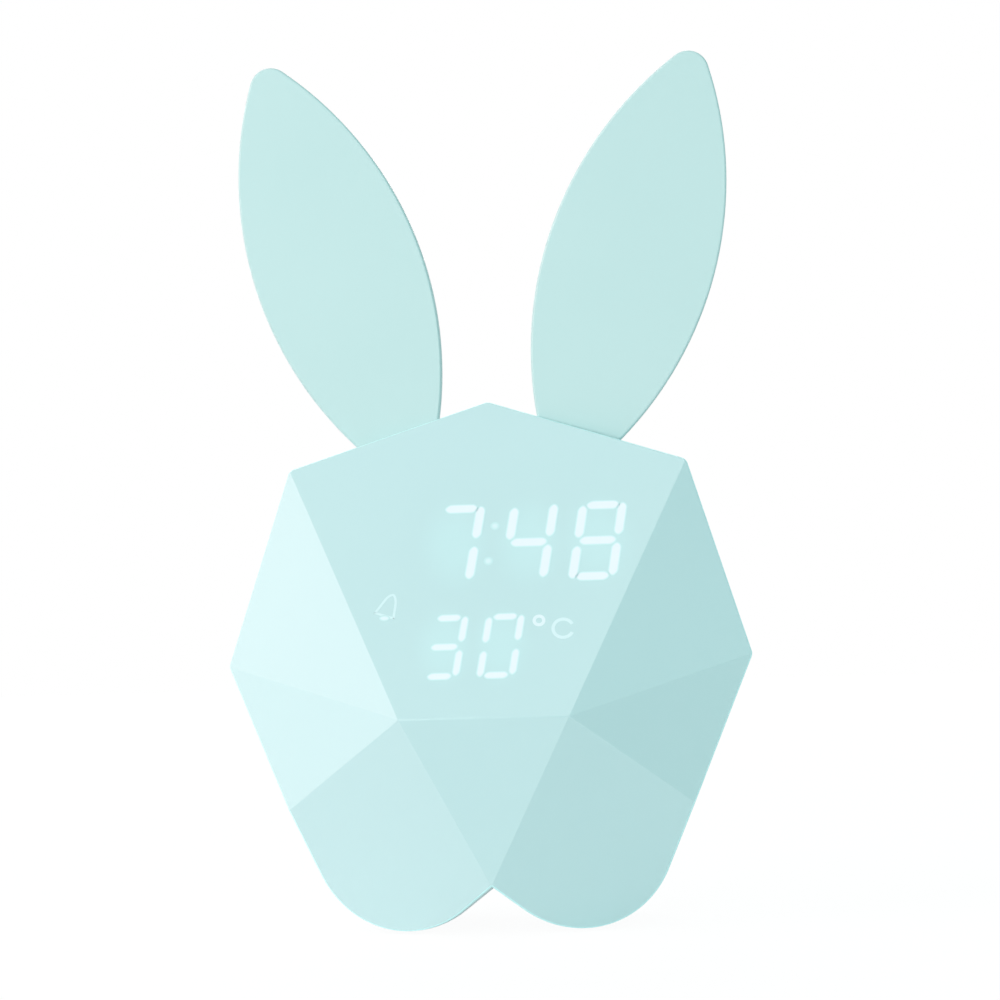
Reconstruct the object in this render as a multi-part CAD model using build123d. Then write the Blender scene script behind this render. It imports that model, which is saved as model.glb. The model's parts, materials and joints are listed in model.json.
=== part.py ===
"""Bedside alarm clock with night light, in the shape of a faceted rabbit head.

The head is modelled in its own face frame: X to the viewer's right, Y from the face towards the back
along the rim's normal, Z up in the rim's plane, with the origin at the middle of the widest line.
standing() then leans the head back and puts the clock's feet on the ground with the origin at the
bottom centre of its box.
Lengths are in millimetres and angles in degrees.
"""
from build123d import *

import os
from math import acos, atan2, cos, degrees, hypot, radians, sin, sqrt, tan

os.makedirs("parts", exist_ok=True)

# ---------------------------------------------------------------- head outline, in the rim's plane
half_width = 56.8
shoulder_x, shoulder_z = 43.75, 43.4
crown_z = 59.1
lobe_x, lobe_z, lobe_radius = 18.85, -37.0, 20.7
chin_z = -48.6
outline_corner_radius = 2.2

# ---------------------------------------------------------------- facets of the face
nose_x, nose_z = 17.9, -14.8
nose_out = 16.8
jaw_x, jaw_z = 43.3, -31.4
chin_out = 1.0
facet_edge_radius = 1.2

# ---------------------------------------------------------------- shells
lean = 12.0
wall = 2.0
seam_depth = 11.0
back_depth = 40.0
front_draft = 3.5
rear_draft = 10.0
back_edge = 2.5
seam_gap = 0.15
lip_height = 2.5
lip_thickness = 1.2
lip_root = 2.0
fit_gap = 0.15
slot_corner = 0.6

# ---------------------------------------------------------------- feet
foot_flat = 0.7
pad_recess = 0.4
pad_proud = 0.25
pad_width = 7.0
pad_length = 20.0
pad_front_y = 5.0
pad_corner = 2.5
foot_floor = 1.6

# ---------------------------------------------------------------- ears
ear_arc_radius = 82.0
ear_half_breadth = 18.9
ear_centre_x, ear_centre_z = 32.25, 85.9
ear_splay = 18.8
ear_tip_radius = 4.7
ear_base_corner = 2.2
ear_thickness = 3.0
ear_front_y = 16.0
ear_edge_radius = 0.5
ear_root_width = 12.0
ear_root_depth = 10.0
ear_screw_drop = 5.0
ear_screw_reach = 3.6

# ---------------------------------------------------------------- screws
pilot_radius = 0.85
thread_gap = 0.03
small_head_radius = 1.9
small_head_height = 1.3
small_hole_radius = 1.1
boss_radius = 2.4
ear_boss_radius = 3.0
post_pilot_depth = 8.0
skin_left = 1.0
case_pilot_radius = 1.15
case_hole_radius = 1.4
case_head_radius = 2.4
case_head_height = 1.8
case_well_radius = 2.7
case_column_radius = 3.6
case_shoulder = 4.6
case_thread = 5.4
case_upper_x, case_upper_z = 40.0, 12.0
case_lower_x, case_lower_z = 22.0, -44.5

# ---------------------------------------------------------------- display, in the screen's own plane
screen_top = 57.0
screen_bottom = 4.6
screen_margin = 2.0
window_skin = 1.0
film_thickness = 0.3
reflector_thickness = 5.0
board_thickness = 1.6
screen_gap = 0.3
boss_side_inset, boss_end_inset = 4.9, 3.2
digit_slant = 8.75
large_centres = (-21.25, -6.35, 9.58, 24.46)
large_centre_v = 41.05
large_half_width, large_half_height = 4.3, 8.55
large_length, large_stroke = 7.2, 1.8
small_centres = (-8.14, 3.85)
small_centre_v = 16.55
small_half_width, small_half_height = 3.45, 6.8
small_length, small_stroke = 5.5, 1.4
upright_bar_share = 0.57
colon_u, colon_v, colon_half_gap, colon_radius = 1.3, 41.0, 4.25, 0.75
degree_u, degree_v, degree_radius = 11.6, 22.25, 1.4
letter_u, letter_v, letter_radius, letter_stroke, letter_opening = 16.75, 20.3, 2.5, 0.8, 70.0
bell_u, bell_v, bell_width, bell_height, bell_tilt = -20.9, 26.2, 4.6, 4.6, -22.0
chip_length, chip_width, chip_height = 1.0, 0.5, 0.6
driver_u, driver_v, driver_size, driver_height = 16.0, 26.0, 7.0, 1.0

# ---------------------------------------------------------------- boards and their parts
main_half_width = 36.0
main_bottom, main_top = -10.0, 22.0
main_standoff = 10.0
board_corner = 1.5
board_post_inset = 3.5
board_screw_bite = 6.0
display_screw_bite = 4.0
controller_x, controller_z, controller_size, controller_height = 18.0, 6.0, 10.0, 1.5
pin_mark_inset, pin_mark_radius, pin_mark_depth = 1.5, 0.6, 0.2
crystal_x, crystal_z, crystal_radius, crystal_length = 29.0, 0.0, 1.0, 6.0
crystal_lift = 0.1
capacitor_x, capacitor_z, capacitor_radius, capacitor_height = -13.0, 14.5, 3.15, 7.0
lead_spots = {"battery": (-10.0, -4.5), "light": (10.0, -4.5), "speaker": (-27.0, 4.0)}
plug_width, plug_height, plug_depth = 6.0, 4.6, 4.0
wire_pair_gap = 2.0
ribbon_width, ribbon_thickness, ribbon_bend = 12.0, 0.3, 4.0
ribbon_socket_width, ribbon_socket_height, ribbon_socket_depth = 14.0, 4.0, 2.0
ribbon_v, ribbon_z = 26.0, 10.0
light_half_width = 34.0
light_bottom, light_top = -24.0, -11.0
light_standoff = 22.8
light_board_thickness = 1.2
light_post_inset = 4.0
light_led_size, light_led_height, light_led_count = 5.0, 1.5, 6
light_led_clearance, light_led_cup = 2.1, 0.6

# ---------------------------------------------------------------- buttons and power switch on the back
button_spots = (("minus", -24.0), ("mode", -8.0), ("alarm", 8.0), ("plus", 24.0))
button_z = 12.0
button_radius = 4.3
button_proud = 0.8
button_travel = 0.5
button_flange_radius, button_flange_thickness = 5.4, 1.0
button_plunger_radius = 1.6
button_gap = 0.2
switch_body, switch_body_height = 6.0, 3.5
switch_stem_radius, switch_stem_rise, switch_bore_depth = 1.7, 1.5, 2.2
running_gap = 0.08
stem_end_gap = 0.2
cap_edge_radius = 0.6
knob_x, knob_z = 22.0, -3.0
knob_length, knob_height, knob_proud = 4.0, 3.0, 0.6
knob_travel = 3.0
knob_plate_length, knob_plate_height, knob_plate_thickness = 11.0, 6.0, 1.0
knob_edge_radius = 0.4
knob_rib_width, knob_rib_height, knob_rib_proud = 0.6, 2.0, 0.3
knob_grip, knob_fit = 1.6, 0.05
slide_body_length, slide_body_height, slide_body_depth = 9.0, 3.6, 3.5
slide_slot_depth = 1.5
lever_width, lever_length = 1.5, 4.6

# ---------------------------------------------------------------- other pieces
usb_x, usb_z = -22.0, -4.0
usb_width, usb_height, usb_wall = 8.9, 3.2, 0.3
usb_gap, usb_sink, usb_mouth_depth = 0.35, 0.6, 5.9
usb_tongue_width, usb_tongue_thickness, usb_tongue_sink = 6.6, 0.7, 0.8
sensor_x, sensor_inset = 0.0, 3.0
sensor_bead_radius, sensor_bead_length, sensor_leg_length = 1.2, 3.0, 5.5
sensor_leg_radius, sensor_leg_gap = 0.25, 1.2
vent_count, vent_pitch, vent_width, vent_length, vent_z = 5, 3.4, 1.5, 9.0, -4.0
speaker_z = 34.0
speaker_radius, speaker_rim, speaker_depth = 13.0, 1.0, 4.0
speaker_sheet = 0.8
speaker_magnet_radius, speaker_magnet_depth = 7.0, 3.6
cone_thickness, coil_radius, cone_edge_gap = 0.4, 2.6, 0.8
gasket_thickness, gasket_width = 0.8, 2.0
speaker_screw_x = 17.2
speaker_screw_bite = 3.6
clamp_thickness, clamp_overhang, clamp_hold = 1.2, 1.8, 1.1
grille_pitch, grille_hole_radius = 3.4, 0.9
cell_z = -28.0
cell_radius, cell_length = 9.2, 65.0
cell_gap = 0.1
strap_thickness, strap_width, strap_x = 1.2, 9.0, 11.0
strap_ear, strap_screw_bite = 6.4, 6.0
cell_edge_radius, cell_cap_radius, cell_cap_height = 0.8, 3.0, 1.2
touch_width, touch_height, touch_thickness, touch_v = 22.0, 8.0, 0.2, 65.0
touch_lead_drop, touch_lead_run, touch_lead_bend = 2.0, 7.0, 3.0
wire_radius = 0.6
battery_lead_clearance, battery_lead_bend, battery_lead_run = 3.0, 1.6, 4.0
battery_tag_spread, battery_lead_spread = 3.0, 1.5
light_lead_drop, light_lead_run, light_lead_rise, light_lead_bend = 2.0, 2.5, 3.0, 1.2
speaker_tag_x, speaker_tag_spread, speaker_lead_run, speaker_lead_bend = -4.2, 1.0, 6.0, 2.5

# ---------------------------------------------------------------- values that follow from the ones above
lean_sin, lean_cos = sin(radians(lean)), cos(radians(lean))
screen_tilt = degrees(atan2(nose_out, shoulder_z - nose_z))
back_inner = back_depth - wall
main_back = back_inner - main_standoff
light_front = back_inner - light_standoff - light_board_thickness
main_front = main_back - board_thickness
lever_front = main_back + slide_body_depth - slide_slot_depth + stem_end_gap
lever_back = lever_front + lever_length
front_inset_at_seam = seam_depth * tan(radians(front_draft))
tub_back = back_depth - back_edge
rear_inset_at_back = front_inset_at_seam + (tub_back - seam_depth) * tan(radians(rear_draft))
lobe_bottom_at_back = lobe_z - lobe_radius + rear_inset_at_back
ground_drop = tub_back * lean_sin - lobe_bottom_at_back * lean_cos - foot_flat
UP = Vector(0, -lean_sin, lean_cos)
SCREEN = Plane(
    origin=(0, -nose_out, nose_z),
    x_dir=(1, 0, 0),
    z_dir=(0, -cos(radians(screen_tilt)), sin(radians(screen_tilt))),
)


# ================================================================ small helpers
def bar(x_range, y_range, z_range):
    """A block between two limits on each axis."""
    size = [high - low for low, high in (x_range, y_range, z_range)]
    return Pos(x_range[0], y_range[0], z_range[0]) * Box(*size, align=(Align.MIN,) * 3)


def rod(x, z, front, back, radius):
    """A round bar along the face frame's Y axis."""
    plane = Plane(origin=(x, front, z), x_dir=(1, 0, 0), z_dir=(0, 1, 0))
    return extrude(plane * Circle(radius), amount=back - front)


def screen_rod(u, v, low, high, radius):
    """A round bar square to the screen, from one height over its outer face to another."""
    standing_rod = Cylinder(radius, high - low, align=(Align.CENTER, Align.CENTER, Align.MIN))
    return SCREEN * Pos(u, v, low) * standing_rod


def group(solids):
    """Separate solids that share one node."""
    return Compound([solid for shape in solids for solid in shape.solids()])


def both_sides(shape):
    return [shape, mirror(shape, about=Plane.YZ)]


def screw(length, radius, head_radius, head_height):
    """A pan-head screw: the head stands on the XY plane and the thread points down."""
    head = Cylinder(head_radius, head_height, align=(Align.CENTER, Align.CENTER, Align.MIN))
    head = fillet(head.edges().group_by(Axis.Z)[-1], head_height * 0.4)
    thread = Cylinder(radius, length, align=(Align.CENTER, Align.CENTER, Align.MAX))
    slot = Pos(0, 0, head_height) * Box(head_radius, head_height * 0.35, head_height)
    cross = Pos(0, 0, head_height) * Box(head_height * 0.35, head_radius, head_height)
    return head + thread - slot - cross


def small_screw(length):
    return screw(length, pilot_radius - thread_gap, small_head_radius, small_head_height)


def wire(points, bend):
    """One insulated wire along straight runs joined by arcs."""
    path = FilletPolyline(*points, radius=bend)
    section = Plane(origin=path @ 0, z_dir=path % 0) * Circle(wire_radius)
    return sweep(section, path=path)


# ================================================================ the head's form
def tangent_point(point, side):
    """Where a line from the point touches the lobe's circle."""
    dx, dz = point[0] - lobe_x, point[1] - lobe_z
    angle = atan2(dz, dx) + side * acos(lobe_radius / hypot(dx, dz))
    return (lobe_x + lobe_radius * cos(angle), lobe_z + lobe_radius * sin(angle))


def outline():
    """The rim: roof, shoulders, sides and two round lobes that meet in a notch at the chin."""
    outer_touch = tangent_point((half_width, 0), -1)
    inner_touch = tangent_point((0, chin_z), 1)
    half = Curve() + [
        Line((0, crown_z), (shoulder_x, shoulder_z)),
        Line((shoulder_x, shoulder_z), (half_width, 0)),
        Line((half_width, 0), outer_touch),
        ThreePointArc(outer_touch, (lobe_x, lobe_z - lobe_radius), inner_touch),
        Line(inner_touch, (0, chin_z)),
    ]
    face = make_face(Plane.XZ * (half + mirror(half, about=Plane.YZ)))
    corners = [(0, crown_z), (shoulder_x, shoulder_z), (half_width, 0)]
    sharp = [
        vertex
        for vertex in face.vertices()
        if any(hypot(abs(vertex.X) - x, vertex.Z - z) < 0.01 for x, z in corners)
    ]
    return fillet(sharp, outline_corner_radius)


def drafted(inset, start, end, draft):
    """The outline moved in by inset at start, extruded to end and narrowing towards it."""
    face = Pos(0, start, 0) * offset(outline(), amount=-inset, kind=Kind.INTERSECTION)
    return Solid.extrude_taper(face.faces()[0], (0, end - start, 0), draft)


def facet(a, b, c, inset):
    """The plane through three points of the face, moved in by inset and looking out of the head."""
    normal = (b - a).cross(c - a).normalized()
    if normal.Y > 0:
        normal = -normal
    return Plane(origin=a - normal * inset, z_dir=normal)


def facets(inset):
    """The eight planes that cut the face."""
    planes = []
    for side in (1, -1):
        nose = Vector(side * nose_x, -nose_out, nose_z)
        shoulder = Vector(side * shoulder_x, 0, shoulder_z)
        temple = Vector(side * half_width, 0, 0)
        jaw = Vector(side * jaw_x, 0, jaw_z)
        chin = Vector(0, -chin_out, chin_z)
        planes += [
            facet(nose, shoulder, temple, inset),
            facet(nose, temple, jaw, inset),
            facet(nose, jaw, chin, inset),
        ]
    noses = Vector(nose_x, -nose_out, nose_z), Vector(-nose_x, -nose_out, nose_z)
    planes.append(facet(*noses, Vector(shoulder_x, 0, shoulder_z), inset))
    planes.append(facet(*noses, Vector(0, -chin_out, chin_z), inset))
    return planes


def faceted_block(inset, edge_radius):
    """A block wider than the head, cut by the facets, with its ridges rounded."""
    reach = half_width * 1.3
    block = bar((-reach, reach), (-nose_out - 5, back_depth), (-reach, reach))
    for plane in facets(inset):
        block = split(block, bisect_by=plane, keep=Keep.BOTTOM)
    if edge_radius == 0:
        return block
    on_face = block.edges().filter_by(lambda edge: edge.center().Y < back_depth - 1)
    ridges = [edge for edge in on_face if max(abs(edge.center().X), abs(edge.center().Z)) < reach - 1]
    return fillet(ridges, edge_radius)


def face_form(inset, edge_radius=0):
    """The faceted front of the head down to the seam, moved in by inset."""
    start = -nose_out - 2
    widening = -start * tan(radians(front_draft))
    return faceted_block(inset, edge_radius) & drafted(inset - widening, start, seam_depth, front_draft)


def tub_form(inset, back, edge=0):
    """The rear of the head from the seam to back, moved in by inset, its back edge cut at 45 degrees."""
    straight = back - edge
    form = drafted(front_inset_at_seam + inset, seam_depth, straight, rear_draft)
    if edge == 0:
        return form
    inset_there = front_inset_at_seam + inset + (straight - seam_depth) * tan(radians(rear_draft))
    return form + drafted(inset_there, straight, back, 45)


def level_cut(height):
    """A horizontal plane of the standing clock, at a height below the face frame's origin."""
    return Plane(origin=UP * height, x_dir=(1, 0, 0), z_dir=UP)


# ================================================================ ears, in the clock's upright frame
def upright(shape):
    """Turn a shape from the standing clock's upright frame into the leaning face frame."""
    return Rot(lean, 0, 0) * shape


def roof_plane():
    """The roof's outer face under the right ear, in the face frame."""
    slope = atan2(crown_z - shoulder_z, shoulder_x)
    draft = radians(front_draft)
    normal = Vector(sin(slope) * cos(draft), sin(draft), cos(slope) * cos(draft))
    return Plane(origin=Vector(0, 0, crown_z), z_dir=normal)


def ear_foot():
    """Where the ear's axis meets the roof at the sheet's back, turned along the roof."""
    roof = Rot(-lean, 0, 0) * roof_plane()
    normal = roof.z_dir
    fall = normal.X / normal.Z
    height_at_middle = (normal.dot(roof.origin) - normal.Y * (ear_front_y + ear_thickness)) / normal.Z
    splay = tan(radians(ear_splay))
    x = (ear_centre_x - (ear_centre_z - height_at_middle) * splay) / (1 + fall * splay)
    return Pos(x, height_at_middle - fall * x) * Rot(0, 0, -degrees(atan2(fall, 1)))


def ear_plate_outline():
    """Two equal arcs that meet at the tip, cut along the roof at the base."""
    arc_offset = ear_arc_radius - ear_half_breadth
    lens = (Pos(-arc_offset, 0) * Circle(ear_arc_radius)) & (Pos(arc_offset, 0) * Circle(ear_arc_radius))
    tip = lens.vertices().sort_by(Axis.Y)[-1]
    lens = fillet(tip, ear_tip_radius)
    lens = Pos(ear_centre_x, ear_centre_z) * Rot(0, 0, -ear_splay) * lens
    reach = 2 * ear_arc_radius
    above_roof = ear_foot() * Pos(0, reach / 2) * Rectangle(reach, reach)
    plate = lens & above_roof
    return fillet(plate.vertices().sort_by(Axis.Y)[:2], ear_base_corner)


def ear_sheet(sketch, front, back):
    """Extrude an upright XZ drawing from one depth to another."""
    plane = Plane(origin=(0, front, 0), x_dir=(1, 0, 0), z_dir=(0, -1, 0))
    return extrude(plane * sketch, amount=-(back - front))


def ear_root(clearance):
    """The tongue that goes down through the roof."""
    length = ear_root_depth + ear_base_corner + 1
    tongue = Rectangle(ear_root_width + 2 * clearance, length, align=(Align.CENTER, Align.MAX))
    drawing = ear_foot() * Pos(0, ear_base_corner + 1) * tongue
    return ear_sheet(drawing, ear_front_y - clearance, ear_front_y + ear_thickness + clearance)


def ear_rod(front, back, radius):
    """A round bar square to the ear's sheet, through the middle of its root."""
    spot = (ear_foot() * Pos(0, -ear_screw_drop)).position
    return upright(rod(spot.X, spot.Y, front, back, radius))


def ear():
    plate = ear_sheet(ear_plate_outline(), ear_front_y, ear_front_y + ear_thickness)
    flat_ends = plate.edges().filter_by(lambda edge: abs((edge @ 0).Y - (edge @ 1).Y) < 0.01)
    plate = fillet(flat_ends, ear_edge_radius)
    plate = split(upright(plate), bisect_by=roof_plane(), keep=Keep.TOP)
    root = upright(ear_root(0))
    hole = ear_rod(ear_front_y - 1, ear_front_y + ear_thickness + 1, small_hole_radius)
    return plate + root - hole


def ear_screw():
    spot = (ear_foot() * Pos(0, -ear_screw_drop)).position
    seat = Plane(origin=(spot.X, ear_front_y + ear_thickness, spot.Y), x_dir=(1, 0, 0), z_dir=(0, 1, 0))
    return upright(seat * small_screw(ear_thickness + ear_screw_reach))


# ================================================================ display outline and its drawings
def screen_half_width(v):
    """Half the width of the forehead facet at a height v above the nose line."""
    height = hypot(nose_out, shoulder_z - nose_z)
    return nose_x + (shoulder_x - nose_x) * v / height


def screen_sheet(margin, low, high):
    """A plate behind the forehead with the display's outline, moved in by margin."""
    bottom, top = screen_bottom + margin, screen_top - margin
    side = screen_margin + margin
    corners = [
        (screen_half_width(bottom) - side, bottom),
        (screen_half_width(top) - side, top),
        (-screen_half_width(top) + side, top),
        (-screen_half_width(bottom) + side, bottom),
    ]
    return extrude(SCREEN * Pos(0, 0, low) * make_face(Polyline(*corners, close=True)), amount=high - low)


def boss_spots():
    """Where the display's screws go: one in each corner of the screen."""
    spots = []
    for v in (screen_bottom + boss_end_inset, screen_top - boss_end_inset):
        u = screen_half_width(v) - screen_margin - boss_side_inset
        spots += [(u, v), (-u, v)]
    return spots


def segment(length, stroke):
    """One bar of a digit, lying, with pointed ends."""
    end, shoulder = length / 2, (length - stroke) / 2
    half = stroke / 2
    upper = [(-end, 0), (-shoulder, half), (shoulder, half)]
    return upper + [(-a, -b) for a, b in upper]


def digit(centre, half_width_, half_height, length, stroke):
    """The seven bars of one leaning digit."""
    lean_rate = tan(radians(digit_slant))
    bars = [(0, level * half_height, 0) for level in (-1, 0, 1)]
    for side in (-1, 1):
        bars += [(side * half_width_, level * half_height * upright_bar_share, 90) for level in (-1, 1)]
    faces = []
    for u, v, turn in bars:
        points = []
        for a, b in segment(length, stroke):
            if turn:
                a, b = -b, a
            points.append((centre[0] + u + a + lean_rate * (v + b), centre[1] + v + b))
        faces.append(make_face(Polyline(*points, close=True)))
    return faces


def bell_outline():
    """A plain tilted bell with its clapper, as one window."""
    half, height = bell_width / 2, bell_height
    body = make_face(
        Polyline(
            (-half, -height / 2),
            (half, -height / 2),
            (half * 0.8, height * 0.2),
            (half * 0.3, height / 2),
            (-half * 0.3, height / 2),
            (-half * 0.8, height * 0.2),
            close=True,
        )
    )
    clapper = Pos(0, -height / 2) * Circle(half * 0.3)
    return Pos(bell_u, bell_v) * Rot(0, 0, bell_tilt) * (body + clapper)


def letter_window():
    """A round letter C, open to the right."""
    ring = Circle(letter_radius) - Circle(letter_radius - letter_stroke)
    mouth_height = 2 * letter_radius * sin(radians(letter_opening / 2))
    mouth = Pos(letter_radius, 0) * Rectangle(2 * letter_radius, mouth_height)
    return Pos(letter_u, letter_v) * (ring - mouth)


def lit_windows():
    """Every window of the light box, with the spot of its chip on the screen."""
    faces = []
    large = (large_half_width, large_half_height, large_length, large_stroke)
    small = (small_half_width, small_half_height, small_length, small_stroke)
    for u in large_centres:
        faces += digit((u, large_centre_v), *large)
    for u in small_centres:
        faces += digit((u, small_centre_v), *small)
    for side in (-1, 1):
        shift = side * colon_half_gap * tan(radians(digit_slant))
        faces += (Pos(colon_u + shift, colon_v + side * colon_half_gap) * Circle(colon_radius)).faces()
    faces += (Pos(degree_u, degree_v) * Circle(degree_radius)).faces()
    faces += bell_outline().faces()
    windows = [(face, face.center()) for face in faces]
    letter_spot = Vector(letter_u - letter_radius + letter_stroke / 2, letter_v)
    windows.append((letter_window().face(), letter_spot))
    return windows


# ================================================================ shells
def case_screw_spots():
    right_side = ((case_upper_x, case_upper_z), (case_lower_x, case_lower_z))
    return [(side * x, z) for side in (1, -1) for x, z in right_side]


def front_shell():
    """Translucent faceted face with its roof slots, display pocket, bosses and columns."""
    shell = face_form(0, facet_edge_radius) - face_form(wall)
    inner_room = face_form(skin_left)
    for boss in both_sides(ear_rod(-nose_out, ear_front_y, ear_boss_radius) & inner_room):
        shell += boss
    for x, z in case_screw_spots():
        shell += rod(x, z, -nose_out, seam_depth, case_column_radius) & inner_room
        shell -= rod(x, z, seam_depth - case_thread - 1.0, seam_depth + 1, case_pilot_radius)
    shell -= screen_sheet(-screen_gap, board_back() - screen_gap, -window_skin)
    for u, v in boss_spots():
        shell += screen_rod(u, v, board_front(), -window_skin / 2, boss_radius)
        shell -= screen_rod(u, v, board_front() - 1, -window_skin, pilot_radius)
    ear_pilot = ear_rod(ear_front_y - ear_screw_reach - 0.4, ear_front_y + 1, pilot_radius)
    for hole in both_sides(ear_pilot) + both_sides(upright(ear_root(fit_gap))):
        shell -= hole
    return shell


def lip():
    """The tongue of the rear shell that enters the front shell, open where the ears' roots pass."""
    lip_front = seam_depth - lip_height
    outer = front_inset_at_seam + wall + fit_gap
    ring = drafted(outer, lip_front, seam_depth + lip_root, 0) - drafted(
        outer + lip_thickness, lip_front - 1, seam_depth + lip_root + 1, 0
    )
    clear_of_face = faceted_block(wall + fit_gap, 0)
    step_inset = front_inset_at_seam + wall / 2
    step = drafted(step_inset, seam_depth + seam_gap, seam_depth + lip_root, rear_draft)
    step -= drafted(outer + lip_thickness, lip_front, seam_depth + lip_root + 1, 0)
    ear_x = ear_foot().position.X
    gap = bar(
        (ear_x - ear_root_width, ear_x + ear_root_width),
        (lip_front - 1, seam_depth),
        (shoulder_z * 0.6, crown_z),
    )
    tongue = (ring & clear_of_face) + step
    for opening in both_sides(gap):
        tongue -= opening
    return tongue


def grille_spots():
    """Hexagonal pattern of sound holes."""
    spots = []
    for row in (-2, -1, 0, 1, 2):
        count = 5 - abs(row)
        z = speaker_z + row * grille_pitch * sqrt(3) / 2
        spots += [((i - (count - 1) / 2) * grille_pitch, z) for i in range(count)]
    return spots


def button_hole(x):
    return rod(x, button_z, back_inner - 1, back_depth + 1, button_radius + button_gap)


def rounded_prism(x, z, width, height, front, back, radius):
    """A bar of rounded section along the face frame's Y axis."""
    plane = Plane(origin=(x, front, z), x_dir=(1, 0, 0), z_dir=(0, 1, 0))
    return extrude(plane * RectangleRounded(width, height, radius), amount=back - front)


def rear_posts():
    """Screw posts on the inside of the back wall, as x, z and the depth of their front end."""
    main = [(x, z, main_back) for x, z in main_post_spots()]
    light_back = light_front + light_board_thickness
    light = [(x, light_post_z(), light_back) for x in light_post_sides()]
    strap = [(side * strap_x, z, cell_y()) for side in (1, -1) for z in strap_post_levels()]
    sound = [(side * speaker_screw_x, speaker_z, speaker_rim_front()) for side in (1, -1)]
    return main + light + strap + sound


def cell_y():
    """Depth of the battery cell's axis: its back rests on the shell's inner face."""
    return back_inner - cell_gap - cell_radius


def strap_post_levels():
    reach = cell_radius + strap_thickness + boss_radius + 0.4
    return (cell_z + reach, cell_z - reach)


def light_post_z():
    return cell_z + cell_radius + boss_radius + 0.6


def light_post_sides():
    return (light_half_width - light_post_inset, light_post_inset - light_half_width)


def main_post_spots():
    x = main_half_width - board_post_inset
    levels = (main_bottom + board_post_inset, main_top - board_post_inset)
    return [(side * x, z) for side in (1, -1) for z in levels]


def speaker_rim_front():
    return back_inner - gasket_thickness - speaker_rim


def rear_shell():
    """Tub with a flat back: holes for what the user reaches, grille, vents, posts and screw columns."""
    body = tub_form(0, back_depth, back_edge)
    reach = 2 * half_width
    body -= bar((-reach, reach), (seam_depth - 1, seam_depth + seam_gap), (-reach, reach))
    body = split(body, bisect_by=level_cut(-ground_drop), keep=Keep.TOP)
    hollow = split(tub_form(wall, back_inner), bisect_by=level_cut(foot_floor - ground_drop + pad_recess))
    shell = body - hollow + lip()
    room = tub_form(wall / 2, back_inner + wall / 2)
    for x, z, front in rear_posts():
        shell += rod(x, z, front, back_inner, boss_radius) & room
        pilot_end = min(front + post_pilot_depth, back_depth - skin_left)
        shell -= rod(x, z, front - 1, pilot_end, pilot_radius)
    for x, z in case_screw_spots():
        shell += rod(x, z, seam_depth + seam_gap, back_inner, case_column_radius)
        shell -= rod(x, z, seam_depth, back_depth + 1, case_hole_radius)
        shell -= rod(x, z, seam_depth + case_shoulder, back_depth + 1, case_well_radius)
    for _, x in button_spots:
        shell -= button_hole(x)
    through = (back_inner - 1, back_depth + 1)
    slot = (knob_length + knob_travel + 2 * button_gap, knob_height + 2 * button_gap)
    shell -= rounded_prism(knob_x - knob_travel / 2, knob_z, *slot, *through, slot_corner)
    usb_hole = (usb_width + 2 * usb_gap, usb_height + 2 * usb_gap)
    shell -= rounded_prism(usb_x, usb_z, *usb_hole, *through, usb_hole[1] * 0.45)
    for i in range(vent_count):
        x = sensor_x + (i - (vent_count - 1) / 2) * vent_pitch
        shell -= rounded_prism(x, vent_z, vent_width, vent_length, *through, vent_width * 0.45)
    for x, z in grille_spots():
        shell -= rod(x, z, *through, grille_hole_radius)
    for recess in both_sides(foot_pad_block(fit_gap, 5)):
        shell -= recess
    return shell


# ================================================================ feet
def foot_pad_block(clearance, down):
    """The pad's outline from its seat down, in the face frame."""
    seat = pad_recess - ground_drop
    size = (pad_width + 2 * clearance, pad_length + 2 * clearance)
    drawing = Pos(lobe_x, pad_front_y + pad_length / 2, seat) * RectangleRounded(*size, pad_corner)
    return upright(extrude(drawing, amount=-down))


def foot_pad():
    return foot_pad_block(0, pad_recess + pad_proud)


# ================================================================ display pieces
def display_film():
    film = screen_sheet(0, -window_skin - film_thickness, -window_skin)
    for u, v in boss_spots():
        film -= screen_rod(u, v, -wall - 1, 0, boss_radius + fit_gap)
    return film


def display_reflector():
    """White light box with a window behind each bar and sign."""
    front = -window_skin - film_thickness
    box = screen_sheet(0, front - reflector_thickness, front)
    for window, _ in lit_windows():
        box -= extrude(SCREEN * Pos(0, 0, front + 1) * window, amount=-reflector_thickness - 2)
    for u, v in boss_spots():
        box -= screen_rod(u, v, front - reflector_thickness - 1, front + 1, boss_radius + fit_gap)
    return box


def board_front():
    """Height of the display board's front over the screen's outer face (negative: behind it)."""
    return -window_skin - film_thickness - reflector_thickness


def board_back():
    return board_front() - board_thickness


def display_board():
    board = screen_sheet(0, board_back(), board_front())
    for u, v in boss_spots():
        board -= screen_rod(u, v, board_back() - 1, board_front() + 1, small_hole_radius)
    return board


def display_leds():
    """One chip behind each window, on the board's front, turned along the window."""
    chips = []
    for window, spot in lit_windows():
        size = window.bounding_box().size
        turn = 90 if size.Y >= size.X else 0
        chip = Box(chip_length, chip_width, chip_height, align=(Align.CENTER, Align.CENTER, Align.MIN))
        chips.append(SCREEN * Pos(spot.X, spot.Y, board_front()) * Rot(0, 0, turn) * chip)
    return group(chips)


def display_screws():
    one = Rot(180, 0, 0) * small_screw(board_thickness + display_screw_bite)
    return group([SCREEN * Pos(u, v, board_back()) * one for u, v in boss_spots()])


# ================================================================ touch surface
def touch_plate():
    foil = Box(touch_width, touch_height, touch_thickness, align=(Align.CENTER, Align.CENTER, Align.MAX))
    return SCREEN * Pos(0, touch_v, -wall) * foil


def touch_lead():
    start = (SCREEN * Pos(0, touch_v, -wall - touch_thickness)).position
    board_z = main_top - touch_lead_drop
    leaving = start - SCREEN.z_dir * touch_lead_run
    landing = Vector(0, main_front, board_z)
    return wire([start, leaving, landing - Vector(0, touch_lead_run, 0), landing], touch_lead_bend)


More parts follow.
